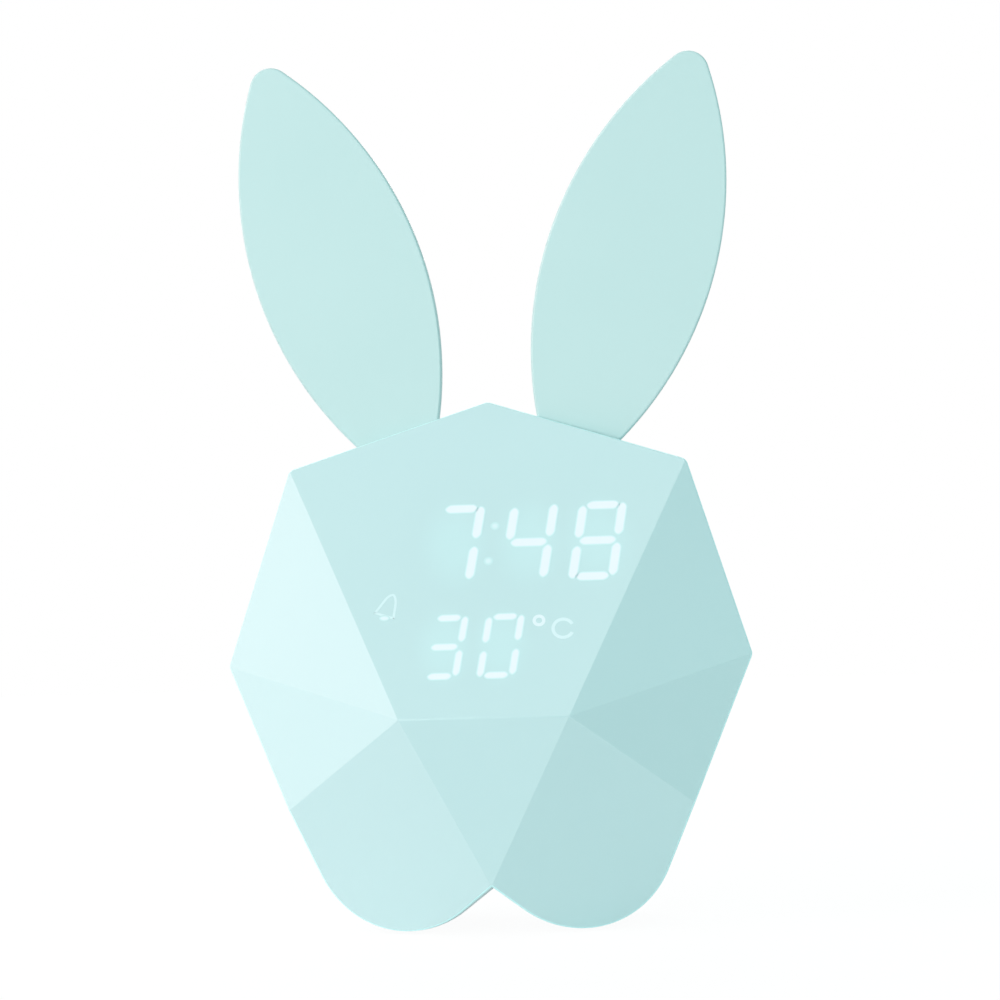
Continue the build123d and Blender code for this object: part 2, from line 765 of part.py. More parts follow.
# ================================================================ boards
def main_board():
    board = bar((-main_half_width, main_half_width), (main_front, main_back), (main_bottom, main_top))
    board = fillet(board.edges().filter_by(Axis.Y), board_corner)
    for x, z in main_post_spots():
        board -= rod(x, z, main_front - 1, main_back + 1, small_hole_radius)
    return board


def front_screw(x, z, y, length):
    """A small screw whose head faces the front, on a piece whose front is at depth y."""
    return Plane(origin=(x, y, z), x_dir=(1, 0, 0), z_dir=(0, -1, 0)) * small_screw(length)


def main_board_screws():
    length = board_thickness + board_screw_bite
    return group([front_screw(x, z, main_front, length) for x, z in main_post_spots()])


def on_main_front(x, z, width, height, depth):
    """A block soldered to the main board's front."""
    across, along = (x - width / 2, x + width / 2), (z - height / 2, z + height / 2)
    return bar(across, (main_front - depth, main_front), along)


def controller_chip():
    chip = on_main_front(controller_x, controller_z, controller_size, controller_size, controller_height)
    corner = controller_size / 2 - pin_mark_inset
    face = main_front - controller_height
    mark = (controller_x - corner, controller_z + corner)
    return chip - rod(*mark, face, face + pin_mark_depth, pin_mark_radius)


def clock_crystal():
    axis = Pos(crystal_x, main_front - crystal_radius - crystal_lift, crystal_z)
    return axis * Cylinder(crystal_radius, crystal_length, align=(Align.CENTER, Align.CENTER, Align.MIN))


def storage_capacitor():
    can = rod(capacitor_x, capacitor_z, main_front - capacitor_height, main_front, capacitor_radius)
    return fillet(can.edges().group_by(Axis.Y)[0], 0.5)


def lead_connectors():
    size = (plug_width, plug_height, plug_depth)
    return group([on_main_front(x, z, *size) for x, z in lead_spots.values()])


def plug_face(name, side):
    """Where one of a pair of wires meets the front of its plug."""
    x, z = lead_spots[name]
    return Vector(x + side * wire_pair_gap / 2, main_front - plug_depth, z)


def display_driver_chip():
    chip = Box(driver_size, driver_size, driver_height, align=(Align.CENTER, Align.CENTER, Align.MAX))
    return SCREEN * Pos(driver_u, driver_v, board_back()) * chip


def ribbon_connectors():
    size = (ribbon_socket_width, ribbon_socket_height, ribbon_socket_depth)
    upper = Box(*size, align=(Align.CENTER, Align.CENTER, Align.MAX))
    upper = SCREEN * Pos(0, ribbon_v, board_back()) * upper
    return group([upper, on_main_front(0, ribbon_z, *size)])


def ribbon_cable():
    start = (SCREEN * Pos(0, ribbon_v, board_back() - ribbon_socket_depth)).position
    end = Vector(0, main_front - ribbon_socket_depth, ribbon_z)
    straight = 1.6 * ribbon_bend
    leaving, arriving = start - SCREEN.z_dir * straight, end - Vector(0, straight, 0)
    path = FilletPolyline(start, leaving, arriving, end, radius=ribbon_bend)
    across = Plane(origin=path @ 0, x_dir=(1, 0, 0), z_dir=path % 0)
    return sweep(across * Rectangle(ribbon_width, ribbon_thickness), path=path)


# ================================================================ night light
def light_led_spots():
    """LEDs spread evenly between the board's two screws."""
    last = light_post_sides()[0] - small_head_radius - light_led_size / 2 - light_led_clearance
    return [last * (2 * i / (light_led_count - 1) - 1) for i in range(light_led_count)]


def light_board():
    back = light_front + light_board_thickness
    board = bar((-light_half_width, light_half_width), (light_front, back), (light_bottom, light_top))
    board = fillet(board.edges().filter_by(Axis.Y), board_corner)
    for x in light_post_sides():
        board -= rod(x, light_post_z(), light_front - 1, back + 1, small_hole_radius)
    return board


def night_light_leds():
    z = (light_bottom + light_top) / 2
    half = light_led_size / 2
    leds = []
    for x in light_led_spots():
        face = light_front - light_led_height
        package = bar((x - half, x + half), (face, light_front), (z - half, z + half))
        leds.append(package - rod(x, z, face - 1, face + light_led_cup, half * 0.75))
    return group(leds)


def light_board_screws():
    length = light_board_thickness + board_screw_bite
    return group([front_screw(x, light_post_z(), light_front, length) for x in light_post_sides()])


def light_lead():
    back = light_front + light_board_thickness
    wires = []
    for side in (-1, 1):
        end = plug_face("light", side)
        start = Vector(end.X, back, light_top - light_lead_drop)
        leaving = start + Vector(0, light_lead_run, 0)
        wires.append(wire([start, leaving, end - Vector(0, light_lead_rise, 0), end], light_lead_bend))
    return group(wires)


# ================================================================ buttons and switches on the back
def switch_face():
    return main_back + switch_body_height


def tact_switches():
    half = switch_body / 2
    bodies = []
    for _, x in button_spots:
        body = bar((x - half, x + half), (main_back, switch_face()), (button_z - half, button_z + half))
        floor = switch_face() - switch_bore_depth
        bodies.append(body - rod(x, button_z, floor, switch_face() + 1, switch_stem_radius + running_gap))
    return group(bodies)


def switch_stem(x):
    """Plunger of one switch: it keeps its travel free at the bottom of the bore."""
    front = switch_face() - switch_bore_depth + button_travel + stem_end_gap
    return rod(x, button_z, front, switch_face() + switch_stem_rise, switch_stem_radius)


def button(x):
    """Round cap with an inner flange that keeps it in its hole, and a plunger on the switch stem."""
    flange_back = back_inner - button_gap
    flange_front = flange_back - button_flange_thickness
    cap = rod(x, button_z, flange_back, back_depth + button_proud, button_radius)
    cap = fillet(cap.edges().group_by(Axis.Y)[-1], cap_edge_radius)
    flange = rod(x, button_z, flange_front, flange_back, button_flange_radius)
    plunger = rod(x, button_z, switch_face() + switch_stem_rise, flange_front, button_plunger_radius)
    return cap + flange + plunger


def power_switch():
    x = knob_x - knob_travel / 2
    half_length, half_height = slide_body_length / 2, slide_body_height / 2
    top = main_back + slide_body_depth
    height_range = (knob_z - half_height, knob_z + half_height)
    body = bar((x - half_length, x + half_length), (main_back, top), height_range)
    half_slot = (lever_width + knob_travel) / 2 + button_gap
    half_slit = lever_width / 2 + button_gap
    slot_z = (knob_z - half_slit, knob_z + half_slit)
    return body - bar((x - half_slot, x + half_slot), (top - slide_slot_depth, top + 1), slot_z)


def lever_block(clearance, front, back):
    half = lever_width / 2 + clearance
    return bar((knob_x - half, knob_x + half), (front, back), (knob_z - half, knob_z + half))


def power_switch_lever():
    return lever_block(0, lever_front, lever_back)


def power_knob():
    """Knob with a plate that covers the slot and a foot that holds the lever."""
    plate_back = back_inner - button_gap
    plate_front = plate_back - knob_plate_thickness
    half_length, half_height = knob_length / 2, knob_height / 2
    cap = bar(
        (knob_x - half_length, knob_x + half_length),
        (plate_back - 0.2, back_depth + knob_proud),
        (knob_z - half_height, knob_z + half_height),
    )
    cap = fillet(cap.edges().group_by(Axis.Y)[-1], knob_edge_radius)
    rib = bar(
        (knob_x - knob_rib_width / 2, knob_x + knob_rib_width / 2),
        (back_depth, back_depth + knob_proud + knob_rib_proud),
        (knob_z - knob_rib_height / 2, knob_z + knob_rib_height / 2),
    )
    plate = bar(
        (knob_x - knob_plate_length / 2, knob_x + knob_plate_length / 2),
        (plate_front, plate_back),
        (knob_z - knob_plate_height / 2, knob_z + knob_plate_height / 2),
    )
    foot = bar(
        (knob_x - half_length, knob_x + half_length),
        (lever_back - knob_grip, plate_front),
        (knob_z - half_height, knob_z + half_height),
    )
    pocket = lever_block(knob_fit, lever_back - knob_grip - 1, lever_back + 2 * knob_fit)
    return cap + rib + plate + foot - pocket


def usb_socket():
    """Metal shell from the board to the back wall, with the contact tongue inside its mouth."""
    mouth = back_depth - usb_sink
    floor = mouth - usb_mouth_depth
    shell = rounded_prism(usb_x, usb_z, usb_width, usb_height, main_back, mouth, usb_height * 0.45)
    inner = (usb_width - 2 * usb_wall, usb_height - 2 * usb_wall)
    shell -= rounded_prism(usb_x, usb_z, *inner, floor, mouth + 1, inner[1] * 0.45)
    half_width_of_tongue, half_thickness = usb_tongue_width / 2, usb_tongue_thickness / 2
    tongue = bar(
        (usb_x - half_width_of_tongue, usb_x + half_width_of_tongue),
        (floor - usb_wall, mouth - usb_tongue_sink),
        (usb_z - half_thickness, usb_z + half_thickness),
    )
    return shell + tongue


def temperature_sensor():
    """Resin bead on two legs behind the vents."""
    z = main_bottom + sensor_inset
    legs_end = main_back + sensor_leg_length
    bead = rod(sensor_x, z, legs_end, legs_end + sensor_bead_length, sensor_bead_radius)
    bead = fillet(bead.edges(), sensor_bead_radius * 0.4)
    for side in (-1, 1):
        leg_x = sensor_x + side * sensor_leg_gap / 2
        bead += rod(leg_x, z, main_back, legs_end + sensor_bead_length / 2, sensor_leg_radius)
    return bead


# ================================================================ speaker
def speaker_cylinder(front, back, radius):
    return rod(0, speaker_z, front, back, radius)


def speaker_cup(front, back, small_radius, large_radius):
    """A cone frustum that opens towards the back."""
    plane = Plane(origin=(0, front, speaker_z), x_dir=(1, 0, 0), z_dir=(0, 1, 0))
    standing_on_small_end = (Align.CENTER, Align.CENTER, Align.MIN)
    return plane * Cone(small_radius, large_radius, back - front, align=standing_on_small_end)


def speaker_basket():
    rim_front = speaker_rim_front()
    base = rim_front - speaker_depth
    inner = speaker_radius - gasket_width
    cup = speaker_cylinder(rim_front, rim_front + speaker_rim, speaker_radius)
    cup += speaker_cup(base, rim_front, speaker_magnet_radius, inner + speaker_sheet / 2)
    hollow_radius = speaker_magnet_radius - speaker_sheet
    mouth_radius = inner + speaker_sheet / 4
    return cup - speaker_cup(base + speaker_sheet, rim_front + speaker_rim, hollow_radius, mouth_radius)


def speaker_cone():
    rim_front = speaker_rim_front()
    outer = speaker_radius - gasket_width - cone_edge_gap
    floor = rim_front - speaker_depth + speaker_sheet
    base = floor + speaker_sheet
    neck = coil_radius + cone_thickness
    cone = speaker_cup(base, rim_front + cone_thickness, neck, outer)
    cone -= speaker_cup(base + cone_thickness, rim_front + 2 * cone_thickness, neck, outer)
    cap = speaker_cylinder(base, base + 1.5 * cone_thickness, neck + cone_thickness / 2)
    coil = speaker_cylinder(floor, base, coil_radius)
    return cone + cap + coil


def speaker_magnet():
    base = speaker_rim_front() - speaker_depth
    magnet = speaker_cylinder(base - speaker_magnet_depth, base, speaker_magnet_radius)
    return fillet(magnet.edges().group_by(Axis.Y)[0], 0.4)


def speaker_gasket():
    back = back_inner
    ring = speaker_cylinder(back - gasket_thickness, back, speaker_radius)
    return ring - speaker_cylinder(back - 2, back + 1, speaker_radius - gasket_width)


def speaker_clamp():
    """Ring that presses the basket's rim on its gasket, with an ear for each screw."""
    back = speaker_rim_front()
    front = back - clamp_thickness
    ring = speaker_cylinder(front, back, speaker_radius + clamp_overhang)
    for side in (1, -1):
        ring += rod(side * speaker_screw_x, speaker_z, front, back, boss_radius + 0.4)
    ring -= speaker_cylinder(front - 1, back + 1, speaker_radius - clamp_hold)
    for side in (1, -1):
        ring -= rod(side * speaker_screw_x, speaker_z, front - 1, back + 1, small_hole_radius)
    return ring


def speaker_screws():
    front = speaker_rim_front() - clamp_thickness
    length = clamp_thickness + speaker_screw_bite - speaker_rim
    return group([front_screw(side * speaker_screw_x, speaker_z, front, length) for side in (1, -1)])


def speaker_lead():
    magnet_front = speaker_rim_front() - speaker_depth - speaker_magnet_depth
    wires = []
    for side in (-1, 1):
        end = plug_face("speaker", side)
        start = Vector(speaker_tag_x + side * speaker_tag_spread, magnet_front, speaker_z)
        run = Vector(0, speaker_lead_run, 0)
        wires.append(wire([start, start - run, end - run, end], speaker_lead_bend))
    return group(wires)


# ================================================================ battery
def cell_cylinder(low, high, radius):
    return Plane(origin=(low, cell_y(), cell_z), z_dir=(1, 0, 0)) * Cylinder(
        radius, high - low, align=(Align.CENTER, Align.CENTER, Align.MIN)
    )


def battery_cell():
    half = cell_length / 2
    can = cell_cylinder(-half, half - cell_cap_height, cell_radius)
    can = fillet(can.edges(), cell_edge_radius)
    return can + cell_cylinder(half - 2 * cell_cap_height, half, cell_cap_radius)


def battery_strap(x):
    """Half ring over the front of the cell with an ear on each post."""
    span = (x - strap_width / 2, x + strap_width / 2)
    ring = cell_cylinder(*span, cell_radius + cell_gap + strap_thickness)
    round_cell = (cell_z - 2 * cell_radius, cell_z + 2 * cell_radius)
    inner_half = bar(span, (cell_y(), cell_y() + 2 * cell_radius), round_cell)
    reach = strap_post_levels()[0] - cell_z + strap_ear / 2
    ears = bar(span, (cell_y() - strap_thickness, cell_y()), (cell_z - reach, cell_z + reach))
    strap = ring - inner_half + ears - cell_cylinder(span[0] - 1, span[1] + 1, cell_radius + cell_gap)
    for z in strap_post_levels():
        strap -= rod(x, z, cell_y() - 5, cell_y() + 1, small_hole_radius)
    return strap


def battery_straps():
    return group([battery_strap(side * strap_x) for side in (1, -1)])


def battery_strap_screws():
    front = cell_y() - strap_thickness
    spots = [(side * strap_x, z) for side in (1, -1) for z in strap_post_levels()]
    return group([front_screw(x, z, front, strap_thickness + strap_screw_bite) for x, z in spots])


def battery_lead():
    """Two wires from the cell's left end, round the light board's post and over to the main board."""
    past_post = light_post_sides()[1] - boss_radius - wire_radius - battery_lead_clearance
    clear_of_cell = -cell_length / 2 - 2 * battery_lead_bend
    side_x = min(past_post, clear_of_cell)
    wires = []
    for side in (-1, 1):
        end = plug_face("battery", side)
        start = Vector(-cell_length / 2, cell_y(), cell_z + side * battery_tag_spread)
        turn = Vector(side_x, start.Y, start.Z)
        arriving = end - Vector(0, battery_lead_run, 0)
        rise = Vector(side_x, arriving.Y, end.Z + side * battery_lead_spread)
        wires.append(wire([start, turn, rise, arriving, end], battery_lead_bend))
    return group(wires)


# ================================================================ closing screws
def case_screws():
    screws = []
    for x, z in case_screw_spots():
        seat = Plane(origin=(x, seam_depth + case_shoulder, z), x_dir=(1, 0, 0), z_dir=(0, 1, 0))
        thread_radius = case_pilot_radius - thread_gap
        length = case_shoulder + case_thread
        screws.append(seat * screw(length, thread_radius, case_head_radius, case_head_height))
    return group(screws)


# ================================================================ assembly
def face_frame_parts():
    """Every node in the face frame."""
    nodes = {
        "front_shell": front_shell(),
        "rear_shell": rear_shell(),
        "ear_right": ear(),
        "ear_left": mirror(ear(), about=Plane.YZ),
        "foot_pad_right": foot_pad(),
        "foot_pad_left": mirror(foot_pad(), about=Plane.YZ),
        "ear_screws": group(both_sides(ear_screw())),
        "case_screws": case_screws(),
        "display_film": display_film(),
        "display_reflector": display_reflector(),
        "display_leds": display_leds(),
        "display_board": display_board(),
        "display_driver_chip": display_driver_chip(),
        "display_screws": display_screws(),
        "ribbon_cable": ribbon_cable(),
        "ribbon_connectors": ribbon_connectors(),
        "touch_plate": touch_plate(),
        "touch_lead": touch_lead(),
        "main_board": main_board(),
        "main_board_screws": main_board_screws(),
        "controller_chip": controller_chip(),
        "clock_crystal": clock_crystal(),
        "storage_capacitor": storage_capacitor(),
        "lead_connectors": lead_connectors(),
        "usb_socket": usb_socket(),
        "temperature_sensor": temperature_sensor(),
        "tact_switches": tact_switches(),
        "power_switch": power_switch(),
        "power_switch_lever": power_switch_lever(),
        "power_knob": power_knob(),
        "battery_cell": battery_cell(),
        "battery_straps": battery_straps(),
        "battery_strap_screws": battery_strap_screws(),
        "battery_lead": battery_lead(),
        "light_board": light_board(),
        "night_light_leds": night_light_leds(),
        "light_board_screws": light_board_screws(),
        "light_lead": light_lead(),
        "speaker_basket": speaker_basket(),
        "speaker_cone": speaker_cone(),
        "speaker_magnet": speaker_magnet(),
        "speaker_gasket": speaker_gasket(),
        "speaker_clamp": speaker_clamp(),
        "speaker_screws": speaker_screws(),
        "speaker_lead": speaker_lead(),
    }
    for name, x in button_spots:
        nodes[f"button_{name}"] = button(x)
        nodes[f"switch_stem_{name}"] = switch_stem(x)
    return nodes


def standing(nodes):
    """Lean the head back and put the clock on the ground, with the origin under the middle of its box."""
    leaned = {name: Rot(-lean, 0, 0) * shape for name, shape in nodes.items()}
    box = Compound([solid for shape in leaned.values() for solid in shape.solids()]).bounding_box()
    middle = box.center()
    shift = Pos(-middle.X, -middle.Y, -box.min.Z)
    return {name: shift * shape for name, shape in leaned.items()}


for node_name, node_shape in standing(face_frame_parts()).items():
    export_step(node_shape, f"parts/{node_name}.step")
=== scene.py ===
"""Looks of a rabbit-head alarm clock with night light: face, lit digits, printed signs, finishes, studio.

Shapes are drawn in millimetres in the head's own frame (X to the viewer's right, Y from the face to the
back along the rim's normal, Z up in the rim's plane) and placed in the part's frame by the matrix HEAD.
"""
import json
from math import acos, atan2, cos, hypot, pi, radians, sin

import bmesh
import bpy
from mathutils import Matrix, Quaternion, Vector


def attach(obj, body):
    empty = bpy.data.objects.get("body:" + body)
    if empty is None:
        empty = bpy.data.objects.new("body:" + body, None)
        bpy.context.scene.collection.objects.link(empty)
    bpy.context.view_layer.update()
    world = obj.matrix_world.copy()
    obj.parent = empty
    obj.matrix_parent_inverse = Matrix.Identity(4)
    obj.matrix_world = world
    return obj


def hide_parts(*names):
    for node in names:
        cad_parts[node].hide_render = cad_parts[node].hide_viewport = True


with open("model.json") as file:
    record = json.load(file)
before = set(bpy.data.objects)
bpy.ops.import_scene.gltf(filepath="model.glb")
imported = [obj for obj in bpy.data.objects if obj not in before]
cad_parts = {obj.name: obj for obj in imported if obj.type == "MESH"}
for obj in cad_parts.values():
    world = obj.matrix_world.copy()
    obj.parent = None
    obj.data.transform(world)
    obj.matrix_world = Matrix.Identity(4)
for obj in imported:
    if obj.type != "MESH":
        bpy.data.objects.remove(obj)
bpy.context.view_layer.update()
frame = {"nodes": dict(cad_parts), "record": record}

MM = 0.001

# places closer than this, in mm, count as one, and so do directions that differ by less
NEAR = 1e-3
SLICE_TOLERANCE = 1e-5
# faces that turn by less than this lie in one plane
SAME_PLANE = radians(0.05)

# ---------------------------------------------------------------- the head, in its own frame
LEAN = radians(12)
# the right half's corners of the facets and the rim, and its lobe's centre, which the left half mirrors
NOSE = Vector((17.9, -16.8, -14.8))
SHOULDER = Vector((43.75, 0, 43.4))
TEMPLE = Vector((56.8, 0, 0))
JAW = Vector((43.3, 0, -31.4))
CHIN = Vector((0, -1.0, -48.6))
CROWN = Vector((0, 0, 59.1))
LOBE = Vector((18.85, 0, -37.0))
LOBE_RADIUS = 20.7
CORNER_RADIUS = 2.2
FRONT_DRAFT = radians(3.5)
SEAM_DEPTH = 11.0
WALL = 2.0
# a rounded edge is made of a few flats
RIDGE_RADIUS, RIDGE_FLATS = 0.8, 3
RIM_RADIUS, RIM_FLATS = 0.5, 4
# the face is cut from a block larger than the head
BLOCK_REACH, BLOCK_FRONT = 1.3 * TEMPLE.x, NOSE.y - 5
# a facet's normal points forwards at least this much
FACING_FRONT = -0.8
# mm2: the facets and straight sides are larger, and the strips of the round stretches smaller
FLAT_FACE_AREA = 60.0
ROOT_CLEARANCE, ROOT_RISE, ROOT_FLATNESS = 0.15, 16.0, radians(1)
# depths behind the rim of the flat back and of the buttons' faces
BACK_FACE, BUTTON_FACE = 40.0, 40.8
BACK_FACE_SPOT = Vector((0, BACK_FACE, -20.0))
# any other drawn piece shades sharp where its surface turns by more than this
SHARP_ABOVE = radians(30)

# ---------------------------------------------------------------- lit signs, as (u, v) on the forehead
DIGIT_SLANT = 0.14
LARGE_DIGITS = (((-6.55, 41.05), "abc"), ((9.38, 41.05), "bcfg"), ((24.26, 41.05), "abcdefg"))
SMALL_DIGITS = (((-8.49, 16.55), "abcdg"), ((3.5, 16.55), "abcdef"))
# half_width and half_height reach to the middle lines of the outer bars, middle is how far the upright bars
# lie above or below the digit's middle, and stagger what the right-hand ones lie higher and the left-hand
# ones lower. across and along are the lengths of level and upright bars, and halo is half the width and
# height of the soft light round a digit.
LARGE_SIZE = {
    "half_width": 4.25, "half_height": 8.6, "middle": 4.9, "stagger": 0.3,
    "across": 8.1, "along": 8.9, "stroke": 2.45, "halo": (9.5, 13.5),
}
SMALL_SIZE = {
    "half_width": 3.4, "half_height": 6.8, "middle": 3.95, "stagger": 0.2,
    "across": 6.0, "along": 6.9, "stroke": 2.0, "halo": (8.0, 11.0),
}
DIGIT_ROWS = {"lit_time": (LARGE_DIGITS, LARGE_SIZE), "lit_temperature": (SMALL_DIGITS, SMALL_SIZE)}
# shares of a bar's stroke
BAR_TAPER, TIP_CORNER, SIDE_CORNER = 0.5, 0.32, 0.24
# the middle bar's length against that of the other level bars
MIDDLE_BAR_LONGER = 1.1
CORNER_SEGMENTS, DISC_SIDES, ARC_STEPS = 3, 24, 36
# a level is a sign's share of the full light
COLON_DOTS = ((1.99, 45.23), (0.65, 36.74))
COLON_SIZE, COLON_BORDER, COLON_LEVEL = (1.15, 1.15), 0.8, 0.7
DEGREE_SPOT, DEGREE_OUTER, DEGREE_STROKE, DEGREE_LEVEL = (11.6, 22.25), 1.38, 0.72, 0.85
LETTER_SPOT, LETTER_OUTER, LETTER_STROKE, LETTER_LEVEL = (16.74, 20.28), 2.5, 0.72, 0.65
LETTER_MOUTH = radians(54)
BELL_POINTS = (
    (-23.95, 24.9), (-23.1, 26.1), (-22.2, 27.4), (-21.3, 28.7), (-20.4, 29.4), (-19.5, 29.5),
    (-19.05, 28.7), (-18.9, 27.5), (-19.0, 26.1), (-19.2, 24.6), (-19.25, 23.3),
)
BELL_STROKE, BELL_CORNER, BELL_LEVEL = 0.5, 0.35, 0.6
CLAPPER_SPOT, CLAPPER_SIZE, CLAPPER_BORDER, CLAPPER_LEVEL = (-21.5, 23.7), (1.2, 0.75), 0.45, 0.85
LIGHT_PROUD, LIGHT_SUNK, CLAPPER_PROUD = 0.02, 0.25, 0.03
SOFT_BORDER = 0.48

# ---------------------------------------------------------------- the display's light in the plastic
HALO_STRENGTH, HALO_COLOUR = 0.045, "#b4fffa"
# shares of a halo's half size where its light begins and where it is full
HALO_EDGE, HALO_CORE = 1.0, 0.2
BAR_STRENGTH, BAR_COLOUR = 0.27, "#ffc5d4"
# the thin softened edges glow evenly: a painted highlight along the rounded rim
EDGE_HIGHLIGHT_STRENGTH = 0.14

# ---------------------------------------------------------------- printed signs on the back
BUTTONS = {"minus": -24.0, "mode": -8.0, "alarm": 8.0, "plus": 24.0}
BUTTON_LEVEL = 12.0
PRINT_PROUD, PRINT_SUNK = 0.03, 0.05
# how round a printed bar's corners are, as a share of half its stroke
PRINT_CORNER = 0.6
# half the length of the bars of minus and plus, and their stroke
SIGN_REACH, SIGN_STROKE = 1.6, 0.55
DIAL_RADIUS, DIAL_STROKE = 1.7, 0.35
# the middle and length of the clock sign's upright and level hand
UPRIGHT_HAND, LEVEL_HAND = ((0, 0.45), 1.0), ((0.42, 0), 0.75)
HALF_BELL = ((0, 1.75), (0.75, 1.3), (1.05, 0.3), (1.1, -0.5), (1.65, -1.15))
BELL_TONGUE, TONGUE_RADIUS = (0, -1.25), 0.6
SWITCH_WORDS = {"ON": (27.0, -3.0), "OFF": (13.4, -3.0)}
WORD_HEIGHT = 2.2

# ---------------------------------------------------------------- camera and light
# the camera's place is in mm from the head's origin, its lens and sensor in mm, and its reach in metres
CAMERA_SPOT = Vector((44.50, -560.43, 31.06))
CAMERA_FORWARD = Vector((-0.07315, 0.99730, 0.00614))
CAMERA_ROLL = radians(-1.69)
CAMERA_LENS, CAMERA_SENSOR = 93.6, 36.0
CAMERA_NEAR, CAMERA_FAR = 0.01, 100
# azimuth and elevation in degrees, distance and size in metres, exposure, colour
LAMPS = {
    "key_left": (-70, 25, 2.6, 1.8, 0.51, "#ffcccc"),
    "front_fill": (15, 40, 1.5, 1.0, 0.13, "#dcffff"),
    "low_front": (-26, 5, 2.0, 0.5, 0.33, "#f8ffff"),
    "back_fill": (-165, 28, 2.0, 1.4, 0.42, "#ffeded"),
}
WHITE = (1.0, 1.0, 1.0, 1.0)
# the sky is white to look at, and lights the clock with this tint and strength
WORLD_TINT, WORLD_STRENGTH = (0.6, 1.0, 1.0, 1.0), 0.42
# half the floor's width in metres, its share of plain white, and the strength of that white
FLOOR_HALF_SIZE, FLOOR_WHITE, FLOOR_GLOW = 0.8, 0.93, 1.03


def linear(hex_colour):
    """An sRGB hex colour as the linear colour that the shaders take."""
    values = [int(hex_colour[i:i + 2], 16) / 255 for i in (1, 3, 5)]
    return [v / 12.92 if v <= 0.04045 else ((v + 0.055) / 1.055) ** 2.4 for v in values] + [1.0]


def placed(origin, right, normal):
    """A drawing plane: its X is right, its Z is the normal."""
    z = Vector(normal).normalized()
    x = Vector(right).normalized()
    y = z.cross(x)
    columns = Matrix((x, y, z)).transposed().to_4x4()
    return Matrix.Translation(Vector(origin)) @ columns


# the head's place in the part's frame follows from the flat back, which is a mount of the part
lean_back = Matrix.Rotation(-LEAN, 4, "X")
back_mount = next(m for m in frame["record"]["mounts"] if m["name"] == "back_face")
head_origin = Vector(back_mount["pos_m"]) - MM * (lean_back @ BACK_FACE_SPOT)
HEAD = Matrix.Translation(head_origin) @ lean_back @ Matrix.Scale(MM, 4)
forehead_normal = Vector((0, NOSE.z - SHOULDER.z, -NOSE.y))
SCREEN = HEAD @ placed((0, NOSE.y, NOSE.z), (1, 0, 0), forehead_normal)


def on_back(x, z, depth):
    """A drawing plane on the back, read from behind."""
    return HEAD @ placed((x, depth, z), (-1, 0, 0), (0, 1, 0))


# ================================================================ pieces
def piece(bm, name, matrix, body, material):
    """Place a drawn mesh in the part's frame and make it a piece of the clock."""
    bm.transform(matrix)
    mesh = bpy.data.meshes.new(name)
    bm.to_mesh(mesh)
    bm.free()
    for face in mesh.polygons:
        face.use_smooth = True
    mesh.set_sharp_from_angle(angle=SHARP_ABOVE)
    made = bpy.data.objects.new(name, mesh)
    bpy.context.scene.collection.objects.link(made)
    mesh.materials.append(material)
    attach(made, body)
    return made


def everything(bm):
    return bm.verts[:] + bm.edges[:] + bm.faces[:]


def cut(bm, point, normal):
    """Slice a convex solid, keep what lies behind the plane and close the cut."""
    sliced = bmesh.ops.bisect_plane(
        bm, geom=everything(bm), dist=SLICE_TOLERANCE, plane_co=point, plane_no=normal, clear_outer=True
    )
    rim = [e for e in sliced["geom_cut"] if isinstance(e, bmesh.types.BMEdge)]
    if len(rim) > 2:
        bmesh.ops.contextual_create(bm, geom=rim)


def round_edges(bm, edges, radius, flats):
    """Round edges of a convex solid by planes that touch a rod of that radius laid inside each edge."""
    rods = []
    for edge in edges:
        a, b = (face.normal.copy() for face in edge.link_faces)
        axis = edge.verts[0].co - (a + b) * (radius / (1 + a.dot(b)))
        rods.append((axis, a, b))
    for axis, a, b in rods:
        for i in range(flats):
            normal = a.slerp(b, (i + 0.5) / flats)
            cut(bm, axis + normal * radius, normal)


def mirrored(vector):
    return Vector((-vector.x, vector.y, vector.z))


def facet_planes(inset):
    """The eight planes of the face, as (point, outward normal)."""
    right = [(NOSE, SHOULDER, TEMPLE), (NOSE, TEMPLE, JAW), (NOSE, JAW, CHIN)]
    left = [tuple(map(mirrored, corners)) for corners in right]
    middle = [(NOSE, mirrored(NOSE), SHOULDER), (NOSE, mirrored(NOSE), CHIN)]
    planes = []
    for a, b, c in right + left + middle:
        normal = (b - a).cross(c - a).normalized()
        if normal.y > 0:
            normal.negate()
        planes.append((a - normal * inset, normal))
    return planes


def lobe_tangent(point, side):
    """Direction from the lobe's centre to where a line from the point touches it."""
    away = point - LOBE
    return atan2(away.z, away.x) + side * acos(LOBE_RADIUS / hypot(away.x, away.z))


